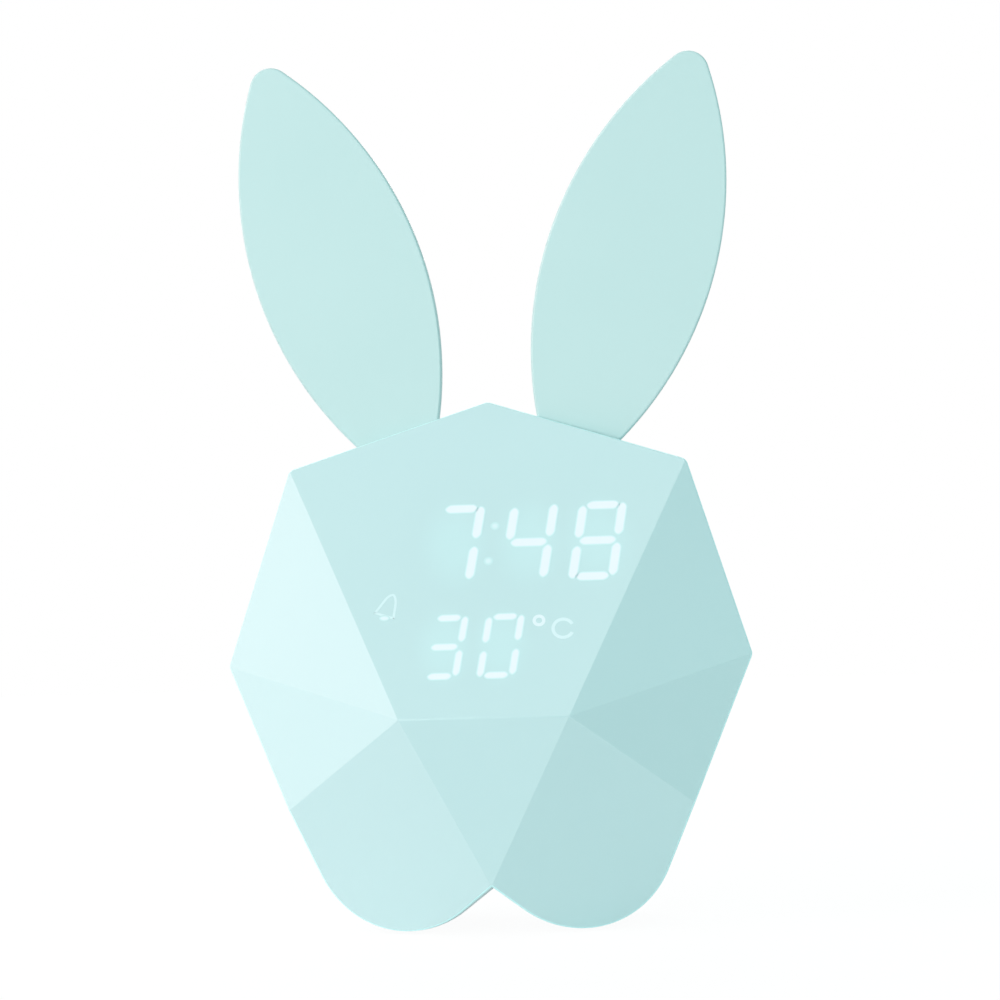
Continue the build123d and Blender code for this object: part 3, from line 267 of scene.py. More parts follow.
def rim_planes(inset):
    """Planes round the right half of the rim: straight sides and rounded corners, narrowing to the back."""
    roof = atan2(SHOULDER.x, CROWN.z - SHOULDER.z)
    side = atan2(TEMPLE.x - SHOULDER.x, SHOULDER.z)
    outer = lobe_tangent(TEMPLE, -1)
    inner = lobe_tangent(CHIN, 1)
    if inner > outer:
        inner -= 2 * pi

    def corner_centre(corner, a, b):
        both = Vector((cos(a) + cos(b), 0, sin(a) + sin(b)))
        return corner - both * (CORNER_RADIUS / (1 + cos(a - b)))

    # each turn: centre, radius, first and last angle, number of flats
    turns = [
        (corner_centre(CROWN, pi - roof, roof), CORNER_RADIUS, pi / 2, roof, 2),
        (corner_centre(SHOULDER, roof, side), CORNER_RADIUS, roof, side, 6),
        (corner_centre(TEMPLE, side, outer), CORNER_RADIUS, side, outer, 5),
        (LOBE, LOBE_RADIUS, outer, inner, 36),
    ]
    planes = []
    for centre, radius, start, end, steps in turns:
        # a later turn starts where the one before it ended, so it leaves that plane out
        for i in range(1 if planes else 0, steps + 1):
            angle = start + (end - start) * i / steps
            level = Vector((cos(angle), 0, sin(angle)))
            flat = Vector((centre.x, 0, centre.z))
            normal = level * cos(FRONT_DRAFT) + Vector((0, sin(FRONT_DRAFT), 0))
            planes.append((flat + level * (radius - inset), normal))
    return planes


def is_facet(face):
    """A face of the softened or plain front: the facets and the strips between them look forwards."""
    return face.normal.y < FACING_FRONT


def is_side(face):
    """A side behind the rim: all sides lean by the same draft."""
    return abs(face.normal.y - sin(FRONT_DRAFT)) < NEAR


def face_form(inset, softened):
    """The faceted front of the head, open at the seam, moved in by inset."""
    bm = bmesh.new()
    bmesh.ops.create_cube(bm, size=1)
    size = (2 * BLOCK_REACH, SEAM_DEPTH - BLOCK_FRONT, 2 * BLOCK_REACH)
    bmesh.ops.scale(bm, vec=size, verts=bm.verts)
    bmesh.ops.translate(bm, vec=(0, (BLOCK_FRONT + SEAM_DEPTH) / 2, 0), verts=bm.verts)
    for point, normal in facet_planes(inset):
        cut(bm, point, normal)
    if softened:
        ridges = [e for e in bm.edges if all(map(is_facet, e.link_faces))]
        round_edges(bm, ridges, RIDGE_RADIUS, RIDGE_FLATS)
    cut(bm, (0, 0, 0), (-1, 0, 0))
    for point, normal in rim_planes(inset):
        cut(bm, point, normal)
    if softened:
        rim = [e for e in bm.edges if any(map(is_facet, e.link_faces)) and any(map(is_side, e.link_faces))]
        round_edges(bm, rim, RIM_RADIUS, RIM_FLATS)
    open_sides = [
        f for f in bm.faces
        if all(abs(v.co.x) < NEAR for v in f.verts) or all(abs(v.co.y - SEAM_DEPTH) < NEAR for v in f.verts)
    ]
    bmesh.ops.delete(bm, geom=open_sides, context="FACES")
    bmesh.ops.mirror(bm, geom=everything(bm), matrix=Matrix(), merge_dist=NEAR, axis="X")
    bmesh.ops.dissolve_limit(bm, angle_limit=SAME_PLANE, verts=bm.verts[:], edges=bm.edges[:])
    bmesh.ops.recalc_face_normals(bm, faces=bm.faces)
    return bm


def face_shell():
    """Hollow front shell: softened outside, wall 2 mm inside it, joined at the seam."""
    outer = face_form(0, True)
    for face in outer.faces:
        # the rounded rim strips take the second finish, whose lighter colour and even glow are a painted
        # highlight
        face.material_index = 0 if is_facet(face) or is_side(face) else 1
    inner = face_form(WALL, False)
    bmesh.ops.reverse_faces(inner, faces=inner.faces)
    hollow = bpy.data.meshes.new("hollow")
    inner.to_mesh(hollow)
    inner.free()
    outer.from_mesh(hollow)
    bpy.data.meshes.remove(hollow)
    seam = [e for e in outer.edges if e.is_boundary]
    bmesh.ops.bridge_loops(outer, edges=seam)
    return outer


def root_block(ear):
    """The room that an ear's root needs in the roof, grown from the flat lower end of the root."""
    bm = bmesh.new()
    bm.from_mesh(ear.data)
    bm.transform(HEAD.inverted())
    bmesh.ops.remove_doubles(bm, verts=bm.verts, dist=NEAR)
    bmesh.ops.dissolve_limit(bm, angle_limit=ROOT_FLATNESS, verts=bm.verts[:], edges=bm.edges[:])
    foot = min(bm.faces, key=lambda f: f.calc_center_median().z)
    bmesh.ops.delete(bm, geom=[f for f in bm.faces if f is not foot], context="FACES")
    bmesh.ops.inset_region(bm, faces=[foot], thickness=ROOT_CLEARANCE, use_outset=True, use_boundary=True)
    bmesh.ops.dissolve_faces(bm, faces=bm.faces[:])
    foot = bm.faces[:][0]
    foot.normal_update()
    rise = foot.normal if foot.normal.z > 0 else -foot.normal
    grown = bmesh.ops.extrude_face_region(bm, geom=[foot])
    top = [v for v in grown["geom"] if isinstance(v, bmesh.types.BMVert)]
    bmesh.ops.translate(bm, vec=rise * ROOT_RISE, verts=top)
    bmesh.ops.holes_fill(bm, edges=[e for e in bm.edges if e.is_boundary])
    bmesh.ops.recalc_face_normals(bm, faces=bm.faces)
    return bm


def drawn_object(name, bm):
    """A drawn mesh as an object of its own."""
    mesh = bpy.data.meshes.new(name)
    bm.to_mesh(mesh)
    bm.free()
    made = bpy.data.objects.new(name, mesh)
    bpy.context.scene.collection.objects.link(made)
    return made


def cut_away(body, tools):
    """The body with the room of each tool taken out of it."""
    made = drawn_object("body", body)
    cutters = [drawn_object("cutter", tool) for tool in tools]
    for cutter in cutters:
        room = made.modifiers.new("room", "BOOLEAN")
        room.operation, room.solver, room.object = "DIFFERENCE", "MANIFOLD", cutter
    bpy.context.view_layer.update()
    graph = bpy.context.evaluated_depsgraph_get()
    left = bmesh.new()
    left.from_mesh(made.evaluated_get(graph).data)
    for used in (made, *cutters):
        bpy.data.objects.remove(used)
    return left


def shade_facets_flat(made):
    """The flat facets shade flat, and only the narrow strips of the soft edges turn."""
    for face in made.data.polygons:
        face.use_smooth = face.area < FLAT_FACE_AREA * MM * MM


def make_face():
    """The translucent face with slots for the ears' roots, standing for the plain front shell."""
    roots = [root_block(frame["nodes"][f"ear_{side}"]) for side in ("left", "right")]
    slotted = cut_away(face_shell(), roots)
    face = piece(slotted, "face_shell", HEAD, "case", translucent_mint)
    face.data.materials.append(rim_highlight_mint)
    shade_facets_flat(face)
    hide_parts("front_shell")


# ================================================================ lit signs
def bar_outline(length, stroke, upright):
    """Corners of one bar of a digit: straight sides and tapered ends."""
    end, half = length / 2, stroke / 2
    shoulder = end - BAR_TAPER * stroke
    points = [
        (-end, 0), (-shoulder, -half), (shoulder, -half), (end, 0), (shoulder, half), (-shoulder, half),
    ]
    return [(-b, a) for a, b in points] if upright else points


def digit_bars(centre, lit, size):
    """Outlines of a digit's lit bars, leaning to the right."""
    half_width, half_height = size["half_width"], size["half_height"]
    far = size["middle"] + size["stagger"]
    near = size["middle"] - size["stagger"]
    places = {
        "a": (0, half_height), "g": (0, 0), "d": (0, -half_height),
        "f": (-half_width, near), "b": (half_width, far),
        "e": (-half_width, -far), "c": (half_width, -near),
    }
    outlines = []
    for bar in lit:
        u, v = places[bar]
        upright = bar in "bcef"
        length = size["along"] if upright else size["across"]
        if bar == "g":
            length *= MIDDLE_BAR_LONGER
        corners = [(u + a, v + b) for a, b in bar_outline(length, size["stroke"], upright)]
        outlines.append([(centre[0] + a + DIGIT_SLANT * b, centre[1] + b) for a, b in corners])
    return outlines


def flat_face(bm, points):
    return bm.faces.new([bm.verts.new((u, v, 0)) for u, v in points])


def glow_layer(bm):
    """How strongly the display lights each corner of a mesh, from 0 to 1."""
    return bm.verts.layers.float.get("glow") or bm.verts.layers.float.new("glow")


def largest_face(bm, verts):
    return max((f for f in bm.faces if set(f.verts) & set(verts)), key=lambda f: f.calc_area())


def round_corners(bm, corners, offset):
    """Round some corners of a flat drawing."""
    return bmesh.ops.bevel(
        bm, geom=corners, offset=offset, segments=CORNER_SEGMENTS, profile=0.5, affect="VERTICES",
        material=-1
    )["verts"]


def fading_border(bm, face, border, level):
    """The glow is full on the face and fades over a border round it."""
    glow = glow_layer(bm)
    bmesh.ops.inset_region(bm, faces=[face], thickness=border, use_even_offset=True, use_boundary=True)
    for around in {f for v in face.verts for f in v.link_faces}:
        for vert in around.verts:
            vert[glow] = level if vert in face.verts else 0.0


def soft_bar(bm, points, stroke):
    """One lit bar with rounded corners, whose light fades at its border."""
    bar = flat_face(bm, points)
    tips = [bar.verts[0], bar.verts[3]]
    shoulders = [v for v in bar.verts if v not in tips]
    round_corners(bm, shoulders, SIDE_CORNER * stroke)
    bar = largest_face(bm, tips)
    rounded = round_corners(bm, tips, TIP_CORNER * stroke)
    fading_border(bm, largest_face(bm, rounded), SOFT_BORDER, 1.0)


def soft_disc(bm, centre, half_size, border, level):
    """A lit round or oval spot that fades towards its edge."""
    ring = bmesh.ops.create_circle(bm, cap_ends=True, radius=1, segments=DISC_SIDES)
    bmesh.ops.scale(bm, vec=(*half_size, 1), verts=ring["verts"])
    bmesh.ops.translate(bm, vec=(*centre, 0), verts=ring["verts"])
    fading_border(bm, ring["verts"][0].link_faces[0], border, level)


def arc_band(bm, centre, outer, stroke, start=0.0, sweep=2 * pi, level=0.0):
    """A flat band along an arc."""
    x, y = centre
    ends = [(x + radius * cos(start), y + radius * sin(start), 0) for radius in (outer - stroke, outer)]
    first = [bm.verts.new(end) for end in ends]
    edge = bm.edges.new(first)
    bmesh.ops.spin(
        bm, geom=first + [edge], cent=(x, y, 0), axis=(0, 0, 1), angle=sweep, steps=ARC_STEPS,
        use_merge=sweep == 2 * pi
    )
    reach = outer + NEAR
    glow = glow_layer(bm)
    for vert in bm.verts:
        if hypot(vert.co.x - x, vert.co.y - y) < reach:
            vert[glow] = level


def outline_band(bm, points, stroke, level):
    """A closed outline drawn as a band of even width."""
    shape = flat_face(bm, points)
    rounded = round_corners(bm, shape.verts[:], BELL_CORNER)
    shape = largest_face(bm, rounded)
    glow = glow_layer(bm)
    for vert in shape.verts:
        vert[glow] = level
    bmesh.ops.inset_region(bm, faces=[shape], thickness=stroke, use_even_offset=True, use_boundary=True)
    for vert in shape.verts:
        vert[glow] = level
    bmesh.ops.delete(bm, geom=[shape], context="FACES_ONLY")


def plate(bm, proud, sunk):
    """Give a flat drawing its thickness: its top stands proud and its underside lies in the plastic."""
    bmesh.ops.recalc_face_normals(bm, faces=bm.faces)
    for face in bm.faces:
        if face.normal.z < 0:
            face.normal_flip()
    bmesh.ops.solidify(bm, geom=bm.faces[:], thickness=proud + sunk)
    top = max(v.co.z for v in bm.verts)
    bmesh.ops.translate(bm, vec=(0, 0, proud - top), verts=bm.verts)


def lit_piece(bm, name, proud=LIGHT_PROUD):
    plate(bm, proud, LIGHT_SUNK)
    piece(bm, name, SCREEN, "case", lit_mint)


def make_lit_signs():
    """The time, the temperature and the bell, each as thin lit plates on the forehead."""
    for name, (digits, size) in DIGIT_ROWS.items():
        bm = bmesh.new()
        glow_layer(bm)
        for centre, lit in digits:
            for outline in digit_bars(centre, lit, size):
                soft_bar(bm, outline, size["stroke"])
        lit_piece(bm, name)
    bm = bmesh.new()
    for spot in COLON_DOTS:
        soft_disc(bm, spot, COLON_SIZE, COLON_BORDER, COLON_LEVEL)
    lit_piece(bm, "lit_colon")
    bm = bmesh.new()
    arc_band(bm, DEGREE_SPOT, DEGREE_OUTER, DEGREE_STROKE, level=DEGREE_LEVEL)
    lit_piece(bm, "lit_degree_ring")
    bm = bmesh.new()
    sweep = 2 * pi - LETTER_MOUTH
    arc_band(bm, LETTER_SPOT, LETTER_OUTER, LETTER_STROKE, LETTER_MOUTH / 2, sweep, LETTER_LEVEL)
    lit_piece(bm, "lit_degree_letter")
    bm = bmesh.new()
    outline_band(bm, BELL_POINTS, BELL_STROKE, BELL_LEVEL)
    lit_piece(bm, "lit_alarm_bell")
    bm = bmesh.new()
    soft_disc(bm, CLAPPER_SPOT, CLAPPER_SIZE, CLAPPER_BORDER, CLAPPER_LEVEL)
    lit_piece(bm, "lit_bell_clapper", CLAPPER_PROUD)


# ================================================================ printed signs on the back
def turned(points, turn, centre=(0, 0)):
    """A flat outline turned about its middle and moved to a centre."""
    x, y = centre
    return [(x + a * cos(turn) - b * sin(turn), y + a * sin(turn) + b * cos(turn)) for a, b in points]


def round_bar(bm, centre, length, stroke, turn=0.0):
    """A printed bar with rounded corners."""
    half, side = length / 2, stroke / 2
    points = [(-half, -side), (half, -side), (half, side), (-half, side)]
    bar = flat_face(bm, turned(points, turn, centre))
    round_corners(bm, bar.verts[:], PRINT_CORNER * side)


def minus_sign(bm):
    round_bar(bm, (0, 0), 2 * SIGN_REACH, SIGN_STROKE)


def plus_sign(bm):
    side = SIGN_STROKE / 2
    outline = []
    for quarter in range(4):
        outline += turned([(side, side), (side, SIGN_REACH), (-side, SIGN_REACH)], quarter * pi / 2)
    flat_face(bm, outline)


def clock_sign(bm):
    arc_band(bm, (0, 0), DIAL_RADIUS, DIAL_STROKE)
    round_bar(bm, *UPRIGHT_HAND, DIAL_STROKE, pi / 2)
    round_bar(bm, *LEVEL_HAND, DIAL_STROKE)


def bell_sign(bm):
    flat_face(bm, HALF_BELL + tuple((-a, b) for a, b in reversed(HALF_BELL[1:])))
    arc_band(bm, BELL_TONGUE, TONGUE_RADIUS, TONGUE_RADIUS, pi, pi)


def printed_piece(bm, name, matrix, body):
    plate(bm, PRINT_PROUD, PRINT_SUNK)
    piece(bm, name, matrix, body, printed_ink)


def make_printed_signs():
    """A sign on each button, and the words beside the power switch."""
    drawings = {"minus": minus_sign, "mode": clock_sign, "alarm": bell_sign, "plus": plus_sign}
    for name, x in BUTTONS.items():
        bm = bmesh.new()
        drawings[name](bm)
        place = on_back(x, BUTTON_LEVEL, BUTTON_FACE)
        printed_piece(bm, f"sign_{name}", place, f"{name}_button")
    for word, (x, z) in SWITCH_WORDS.items():
        text = bpy.data.curves.new(word, "FONT")
        text.body = word
        text.size = WORD_HEIGHT
        text.align_x = text.align_y = "CENTER"
        lettering = bpy.data.objects.new(word, text)
        bpy.context.scene.collection.objects.link(lettering)
        bpy.context.view_layer.update()
        bm = bmesh.new()
        bm.from_mesh(bpy.data.meshes.new_from_object(lettering))
        bpy.data.objects.remove(lettering)
        printed_piece(bm, f"word_{word.lower()}", on_back(x, z, BACK_FACE), "case")


# ================================================================ materials
def new_material(name):
    """An empty material and its node tree."""
    material = bpy.data.materials.new(name)
    material.use_nodes = True
    material.node_tree.nodes.clear()
    return material, material.node_tree


def add(tree, kind, inputs=None, **settings):
    """Add a node: settings are its properties, inputs are values or the sockets that feed it.

    The inputs of a Mix node go by number: 2 and 3 are its two numbers, 6 and 7 its two colours.
    """
    made = tree.nodes.new("ShaderNode" + kind)
    for name, value in settings.items():
        setattr(made, name, value)
    for key, value in (inputs or {}).items():
        if isinstance(value, bpy.types.NodeSocket):
            tree.links.new(value, made.inputs[key])
        else:
            made.inputs[key].default_value = value
    return made


def grain(tree, size_mm, depth_mm, detail=2.0):
    """A fine raised grain of a real size and depth, as a normal."""
    where = add(tree, "TexCoord").outputs["Object"]
    noise = add(tree, "TexNoise", {"Vector": where, "Scale": 1 / (size_mm * MM), "Detail": detail})
    bump = add(tree, "Bump", {"Height": noise.outputs["Fac"], "Distance": depth_mm * MM, "Strength": 1.0})
    return bump.outputs["Normal"]


def drift(tree, size_mm, colour_a, colour_b):
    """A slow change between two near colours."""
    where = add(tree, "TexCoord").outputs["Object"]
    noise = add(tree, "TexNoise", {"Vector": where, "Scale": 1 / (size_mm * MM), "Detail": 1.0})
    mix = add(tree, "Mix", {"Factor": noise.outputs["Fac"], 6: colour_a, 7: colour_b}, data_type="RGBA")
    return mix.outputs[2]


def finished(tree, shader):
    add(tree, "OutputMaterial", {"Surface": shader.outputs[0]})


def moulded_plastic(name, colour_a, colour_b, roughness, grain_mm, depth_mm):
    """Injection-moulded plastic off a spark-eroded tool: an even matte grain with a faint drift of tone."""
    material, tree = new_material(name)
    shader = add(tree, "BsdfPrincipled", {
        "Base Color": drift(tree, 45, linear(colour_a), linear(colour_b)),
        "Roughness": roughness,
        "IOR": 1.54,
        "Normal": grain(tree, grain_mm, depth_mm),
    })
    finished(tree, shader)
    return material


def halo(tree):
    """How much of the digits' light spreads in the plastic: soft ovals round the lit digits."""
    where = add(tree, "TexCoord").outputs["Object"]
    across = add(tree, "SeparateXYZ", {"Vector": where}).outputs["X"]
    up = SCREEN.to_3x3().col[1].normalized()
    zero = SCREEN.translation.dot(up)
    height = add(tree, "VectorMath", {0: where, 1: up}, operation="DOT_PRODUCT").outputs["Value"]
    total = None
    ovals = [(centre, size["halo"]) for digits, size in DIGIT_ROWS.values() for centre, _ in digits]
    for (u, v), (half_wide, half_high) in ovals:
        du = add(tree, "Math", {0: across, 1: -u * MM}, operation="ADD").outputs[0]
        dv = add(tree, "Math", {0: height, 1: -zero - v * MM}, operation="ADD").outputs[0]
        du = add(tree, "Math", {0: du, 1: 1 / (half_wide * MM)}, operation="MULTIPLY").outputs[0]
        dv = add(tree, "Math", {0: dv, 1: 1 / (half_high * MM)}, operation="MULTIPLY").outputs[0]
        spot = add(tree, "CombineXYZ", {"X": du, "Y": dv}).outputs[0]
        reach = add(tree, "VectorMath", {0: spot}, operation="LENGTH").outputs["Value"]
        fade = add(tree, "MapRange", {
            "Value": reach, "From Min": HALO_EDGE, "From Max": HALO_CORE,
        }, interpolation_type="SMOOTHSTEP").outputs[0]
        if total is None:
            total = fade
        else:
            total = add(tree, "Math", {0: total, 1: fade}, operation="MAXIMUM").outputs[0]
    return total


def translucent_plastic(name, light, colour_a, colour_b):
    """Milky polycarbonate moulded off a spark-eroded tool: matte, and lit from behind by the display.

    light says how the display's light reaches the surface: "halo", "bars" or None, which is a thin edge
    with an even faint glow that is a painted highlight, not display light.
    """
    material, tree = new_material(name)
    inputs = {
        "Base Color": drift(tree, 60, linear(colour_a), linear(colour_b)),
        "Roughness": 0.5,
        "IOR": 1.585,
        "Normal": grain(tree, 0.5, 0.004),
        "Emission Color": linear(HALO_COLOUR),
    }
    if light:
        strength = add(tree, "Math", {0: halo(tree), 1: HALO_STRENGTH}, operation="MULTIPLY").outputs[0]
        if light == "bars":
            glow = add(tree, "Attribute", attribute_name="glow").outputs["Fac"]
            tone = add(tree, "Mix", {
                "Factor": glow, 6: linear(HALO_COLOUR), 7: linear(BAR_COLOUR),
            }, data_type="RGBA")
            inputs["Emission Color"] = tone.outputs[2]
            strength = add(tree, "Mix", {"Factor": glow, 2: strength, 3: BAR_STRENGTH}).outputs[0]
        inputs["Emission Strength"] = strength
    else:
        inputs["Emission Strength"] = EDGE_HIGHLIGHT_STRENGTH
    finished(tree, add(tree, "BsdfPrincipled", inputs))
    return material


FACE_MINT = ("#cce6e8", "#d2ebec")
translucent_mint = translucent_plastic("translucent_mint_polycarbonate", "halo", *FACE_MINT)
lit_mint = translucent_plastic("lit_mint_polycarbonate", "bars", *FACE_MINT)
# the rounded rim: lighter than the face and glowing evenly, a painted highlight
rim_highlight_mint = translucent_plastic("rim_highlight_mint_polycarbonate", None, "#d2f1f2", "#d6f4f5")
ear_mint = moulded_plastic("matte_mint_abs", "#c8e2e1", "#cee6e5", 0.5, 0.5, 0.004)
shell_mint = moulded_plastic("matte_mint_case_abs", "#bfe3e5", "#c4e7e9", 0.5, 0.4, 0.006)
button_mint = moulded_plastic("matte_white_mint_abs", "#dcf1f1", "#e2f5f5", 0.45, 0.35, 0.003)
black_nylon = moulded_plastic("black_nylon", "#17181a", "#1d1e20", 0.45, 0.3, 0.004)
white_abs = moulded_plastic("white_light_box_abs", "#f0f0ee", "#f6f6f4", 0.55, 0.4, 0.004)
natural_nylon = moulded_plastic("natural_nylon", "#e4dfcb", "#ebe7d5", 0.4, 0.4, 0.003)
chip_epoxy = moulded_plastic("moulded_epoxy", "#141516", "#1c1d1f", 0.6, 0.12, 0.006)


def silicone_rubber():
    """Moulded silicone foot: soft matte skin with a dusty sheen at its edges."""
    material, tree = new_material("silicone_rubber")
    shader = add(tree, "BsdfPrincipled", {
        "Base Color": drift(tree, 12, linear("#c3dcdc"), linear("#cce3e3")), "Roughness": 0.75, "IOR": 1.41,
        "Sheen Weight": 0.3, "Sheen Roughness": 0.5, "Normal": grain(tree, 0.3, 0.01),
    })
    finished(tree, shader)
    return material


def plated_metal(name, colour_a, colour_b, roughness, scratch_mm):
    """Plated or tinned metal: bright, with short tumbling marks."""
    material, tree = new_material(name)
    shader = add(tree, "BsdfPrincipled", {
        "Base Color": drift(tree, 4, linear(colour_a), linear(colour_b)), "Metallic": 1.0,
        "Roughness": roughness, "Normal": grain(tree, scratch_mm, 0.004, 6.0),
    })
    finished(tree, shader)
    return material


def printed_board(name, mask, copper):
    """Glass-fibre board under solder mask: copper tracks show as lighter lines under a glossy lacquer."""
    material, tree = new_material(name)
    where = add(tree, "TexCoord").outputs["Object"]
    # tracks 0.4 mm wide, 6 mm apart one way and 2.6 mm the other
    cells = add(tree, "TexBrick", {
        "Vector": where, "Color1": linear(mask), "Color2": linear(mask), "Mortar": linear(copper),
        "Scale": 1 / (12 * MM), "Mortar Size": 0.03, "Brick Width": 0.5, "Row Height": 0.22,
    })
    weave = add(tree, "TexVoronoi", {"Vector": where, "Scale": 1 / (1.1 * MM)})
    bump = add(tree, "Bump", {"Height": weave.outputs["Distance"], "Distance": 0.01 * MM})
    shader = add(tree, "BsdfPrincipled", {
        "Base Color": cells.outputs["Color"], "Roughness": 0.35, "IOR": 1.5, "Coat Weight": 0.5,
        "Coat Roughness": 0.15, "Normal": bump.outputs["Normal"],
    })
    finished(tree, shader)
    return material


def flat_cable():
    """Polyester film cable: clear film over tinned conductors, which stand two millimetres apart."""
    material, tree = new_material("polyester_flat_cable")
    where = add(tree, "TexCoord").outputs["Object"]
    # a wave of scale 1 repeats every 0.314 m, so this one repeats every 2 mm
    lines = add(tree, "TexWave", {"Vector": where, "Scale": 1 / (6.4 * MM)}, bands_direction="X")
    stripes = add(tree, "Mix", {
        "Factor": lines.outputs["Fac"], 6: linear("#f1efe6"), 7: linear("#b9bcc0"),
    }, data_type="RGBA")
    shader = add(tree, "BsdfPrincipled", {
        "Base Color": stripes.outputs[2], "Roughness": 0.3, "IOR": 1.57, "Normal": grain(tree, 0.6, 0.004),
    })
    finished(tree, shader)
    return material


def pvc_insulation():
    """Extruded PVC over stranded wire: satin, with the strands' lay just showing through."""
    material, tree = new_material("pvc_insulation")
    where = add(tree, "TexCoord").outputs["Object"]
    # a wave of scale 1 repeats every 0.314 m, so this one repeats every 2.4 mm
    lay = add(tree, "TexWave", {"Vector": where, "Scale": 1 / (7.5 * MM), "Distortion": 1.5})
    bump = add(tree, "Bump", {"Height": lay.outputs["Fac"], "Distance": 0.02 * MM})
    shader = add(tree, "BsdfPrincipled", {
        "Base Color": drift(tree, 8, linear("#b3241c"), linear("#be2c22")), "Roughness": 0.4, "IOR": 1.53,
        "Normal": bump.outputs["Normal"],
    })
    finished(tree, shader)
    return material


def led_resin():
    """White LED: yellow phosphor under clear resin in a white cup."""
    material, tree = new_material("led_resin")
    shader = add(tree, "BsdfPrincipled", {
        "Base Color": drift(tree, 2, linear("#f4ecc0"), linear("#f6e38a")), "Roughness": 0.2, "IOR": 1.5,
        "Coat Weight": 0.6, "Coat Roughness": 0.1, "Normal": grain(tree, 0.4, 0.002),
    })
    finished(tree, shader)
    return material


def copper_foil():
    """Rolled copper foil: warm, with faint rolling lines along it."""
    material, tree = new_material("rolled_copper_foil")
    where = add(tree, "TexCoord").outputs["Object"]
    # lines a quarter of a millimetre across and 17 mm long
    along = add(tree, "Mapping", {"Vector": where, "Scale": (60, 4000, 4000)})
    lines = add(tree, "TexNoise", {"Vector": along.outputs["Vector"], "Scale": 1.0, "Detail": 3.0})
    bump = add(tree, "Bump", {"Height": lines.outputs["Fac"], "Distance": 0.005 * MM})
    shader = add(tree, "BsdfPrincipled", {
        "Base Color": drift(tree, 6, linear("#c77b54"), linear("#d48a60")), "Metallic": 1.0,
        "Roughness": 0.32, "Normal": bump.outputs["Normal"],
    })
    finished(tree, shader)
    return material


# half the length of the blue sleeve
SLEEVE_HALF = 31.0


def shrink_wrap():
    """Cell in heat-shrunk PVC: blue glossy film, plain steel at both ends, soft shrink ripples."""
    material, tree = new_material("heat_shrunk_pvc")
    where = add(tree, "TexCoord").outputs["Object"]
    along = add(tree, "SeparateXYZ", {"Vector": where}).outputs["X"]
    from_middle = add(tree, "Math", {0: along}, operation="ABSOLUTE").outputs[0]
    bare = add(tree, "Math", {0: from_middle, 1: SLEEVE_HALF * MM}, operation="GREATER_THAN").outputs[0]
    colour = add(tree, "Mix", {"Factor": bare, 6: linear("#2f6ea8"), 7: linear("#c8cbce")}, data_type="RGBA")
    shader = add(tree, "BsdfPrincipled", {
        "Base Color": colour.outputs[2], "Metallic": bare, "Roughness": 0.28,
        "Normal": grain(tree, 3.0, 0.02),
    })
    finished(tree, shader)
    return material


def pressed_paper():
    """Speaker cone: felted black paper."""
    material, tree = new_material("felted_paper")
    shader = add(tree, "BsdfPrincipled", {
        "Base Color": drift(tree, 1, linear("#1e1e20"), linear("#2b2b2d")), "Roughness": 0.9,
        "Normal": grain(tree, 0.25, 0.03, 8.0),
    })
    finished(tree, shader)
    return material


def foam():
    """Closed-cell foam gasket: dark with open pores."""
    material, tree = new_material("closed_cell_foam")
    where = add(tree, "TexCoord").outputs["Object"]
    pores = add(tree, "TexVoronoi", {"Vector": where, "Scale": 1 / (0.5 * MM)})
    bump = add(tree, "Bump", {"Height": pores.outputs["Distance"], "Distance": 0.15 * MM})
    shader = add(tree, "BsdfPrincipled", {
        "Base Color": drift(tree, 2, linear("#161617"), linear("#202022")), "Roughness": 0.95,
        "Normal": bump.outputs["Normal"],
    })
    finished(tree, shader)
    return material


def diffusing_film():
    """Polyester diffuser: milky, evenly frosted, lets part of the light through."""
    material, tree = new_material("frosted_diffuser_film")
    shader = add(tree, "BsdfPrincipled", {
        "Base Color": drift(tree, 20, linear("#eef4f5"), linear("#f5f9fa")), "Roughness": 0.6, "IOR": 1.57,
        "Transmission Weight": 0.4, "Normal": grain(tree, 0.2, 0.004),
    })
    finished(tree, shader)
    return material


def pad_printed_ink():
    """Pad-printed ink: thin, matte and a little uneven at its edges."""
    material, tree = new_material("pad_printed_ink")
    shader = add(tree, "BsdfPrincipled", {
        "Base Color": drift(tree, 1.5, linear("#5f8789"), linear("#68908f")), "Roughness": 0.6, "IOR": 1.5,
        "Normal": grain(tree, 0.2, 0.003),
    })
    finished(tree, shader)
    return material


printed_ink = pad_printed_ink()
# baked paint takes the same even grain as a moulded skin
black_steel = moulded_plastic("black_painted_steel", "#1c1c1e", "#232325", 0.4, 0.5, 0.003)
tinned = plated_metal("tinned_steel", "#cfd1d2", "#bfc2c4", 0.28, 0.6)
zinc = plated_metal("zinc_plated_steel", "#b9bcc0", "#a9adb2", 0.32, 0.4)
nickel = plated_metal("nickel_plated_magnet", "#a7a9ab", "#9a9da0", 0.25, 0.8)
green_board = printed_board("green_glass_fibre_board", "#1b5a38", "#2c7a4e")
white_board = printed_board("white_glass_fibre_board", "#eceeec", "#d9dcd6")
led = led_resin()
wire = pvc_insulation()

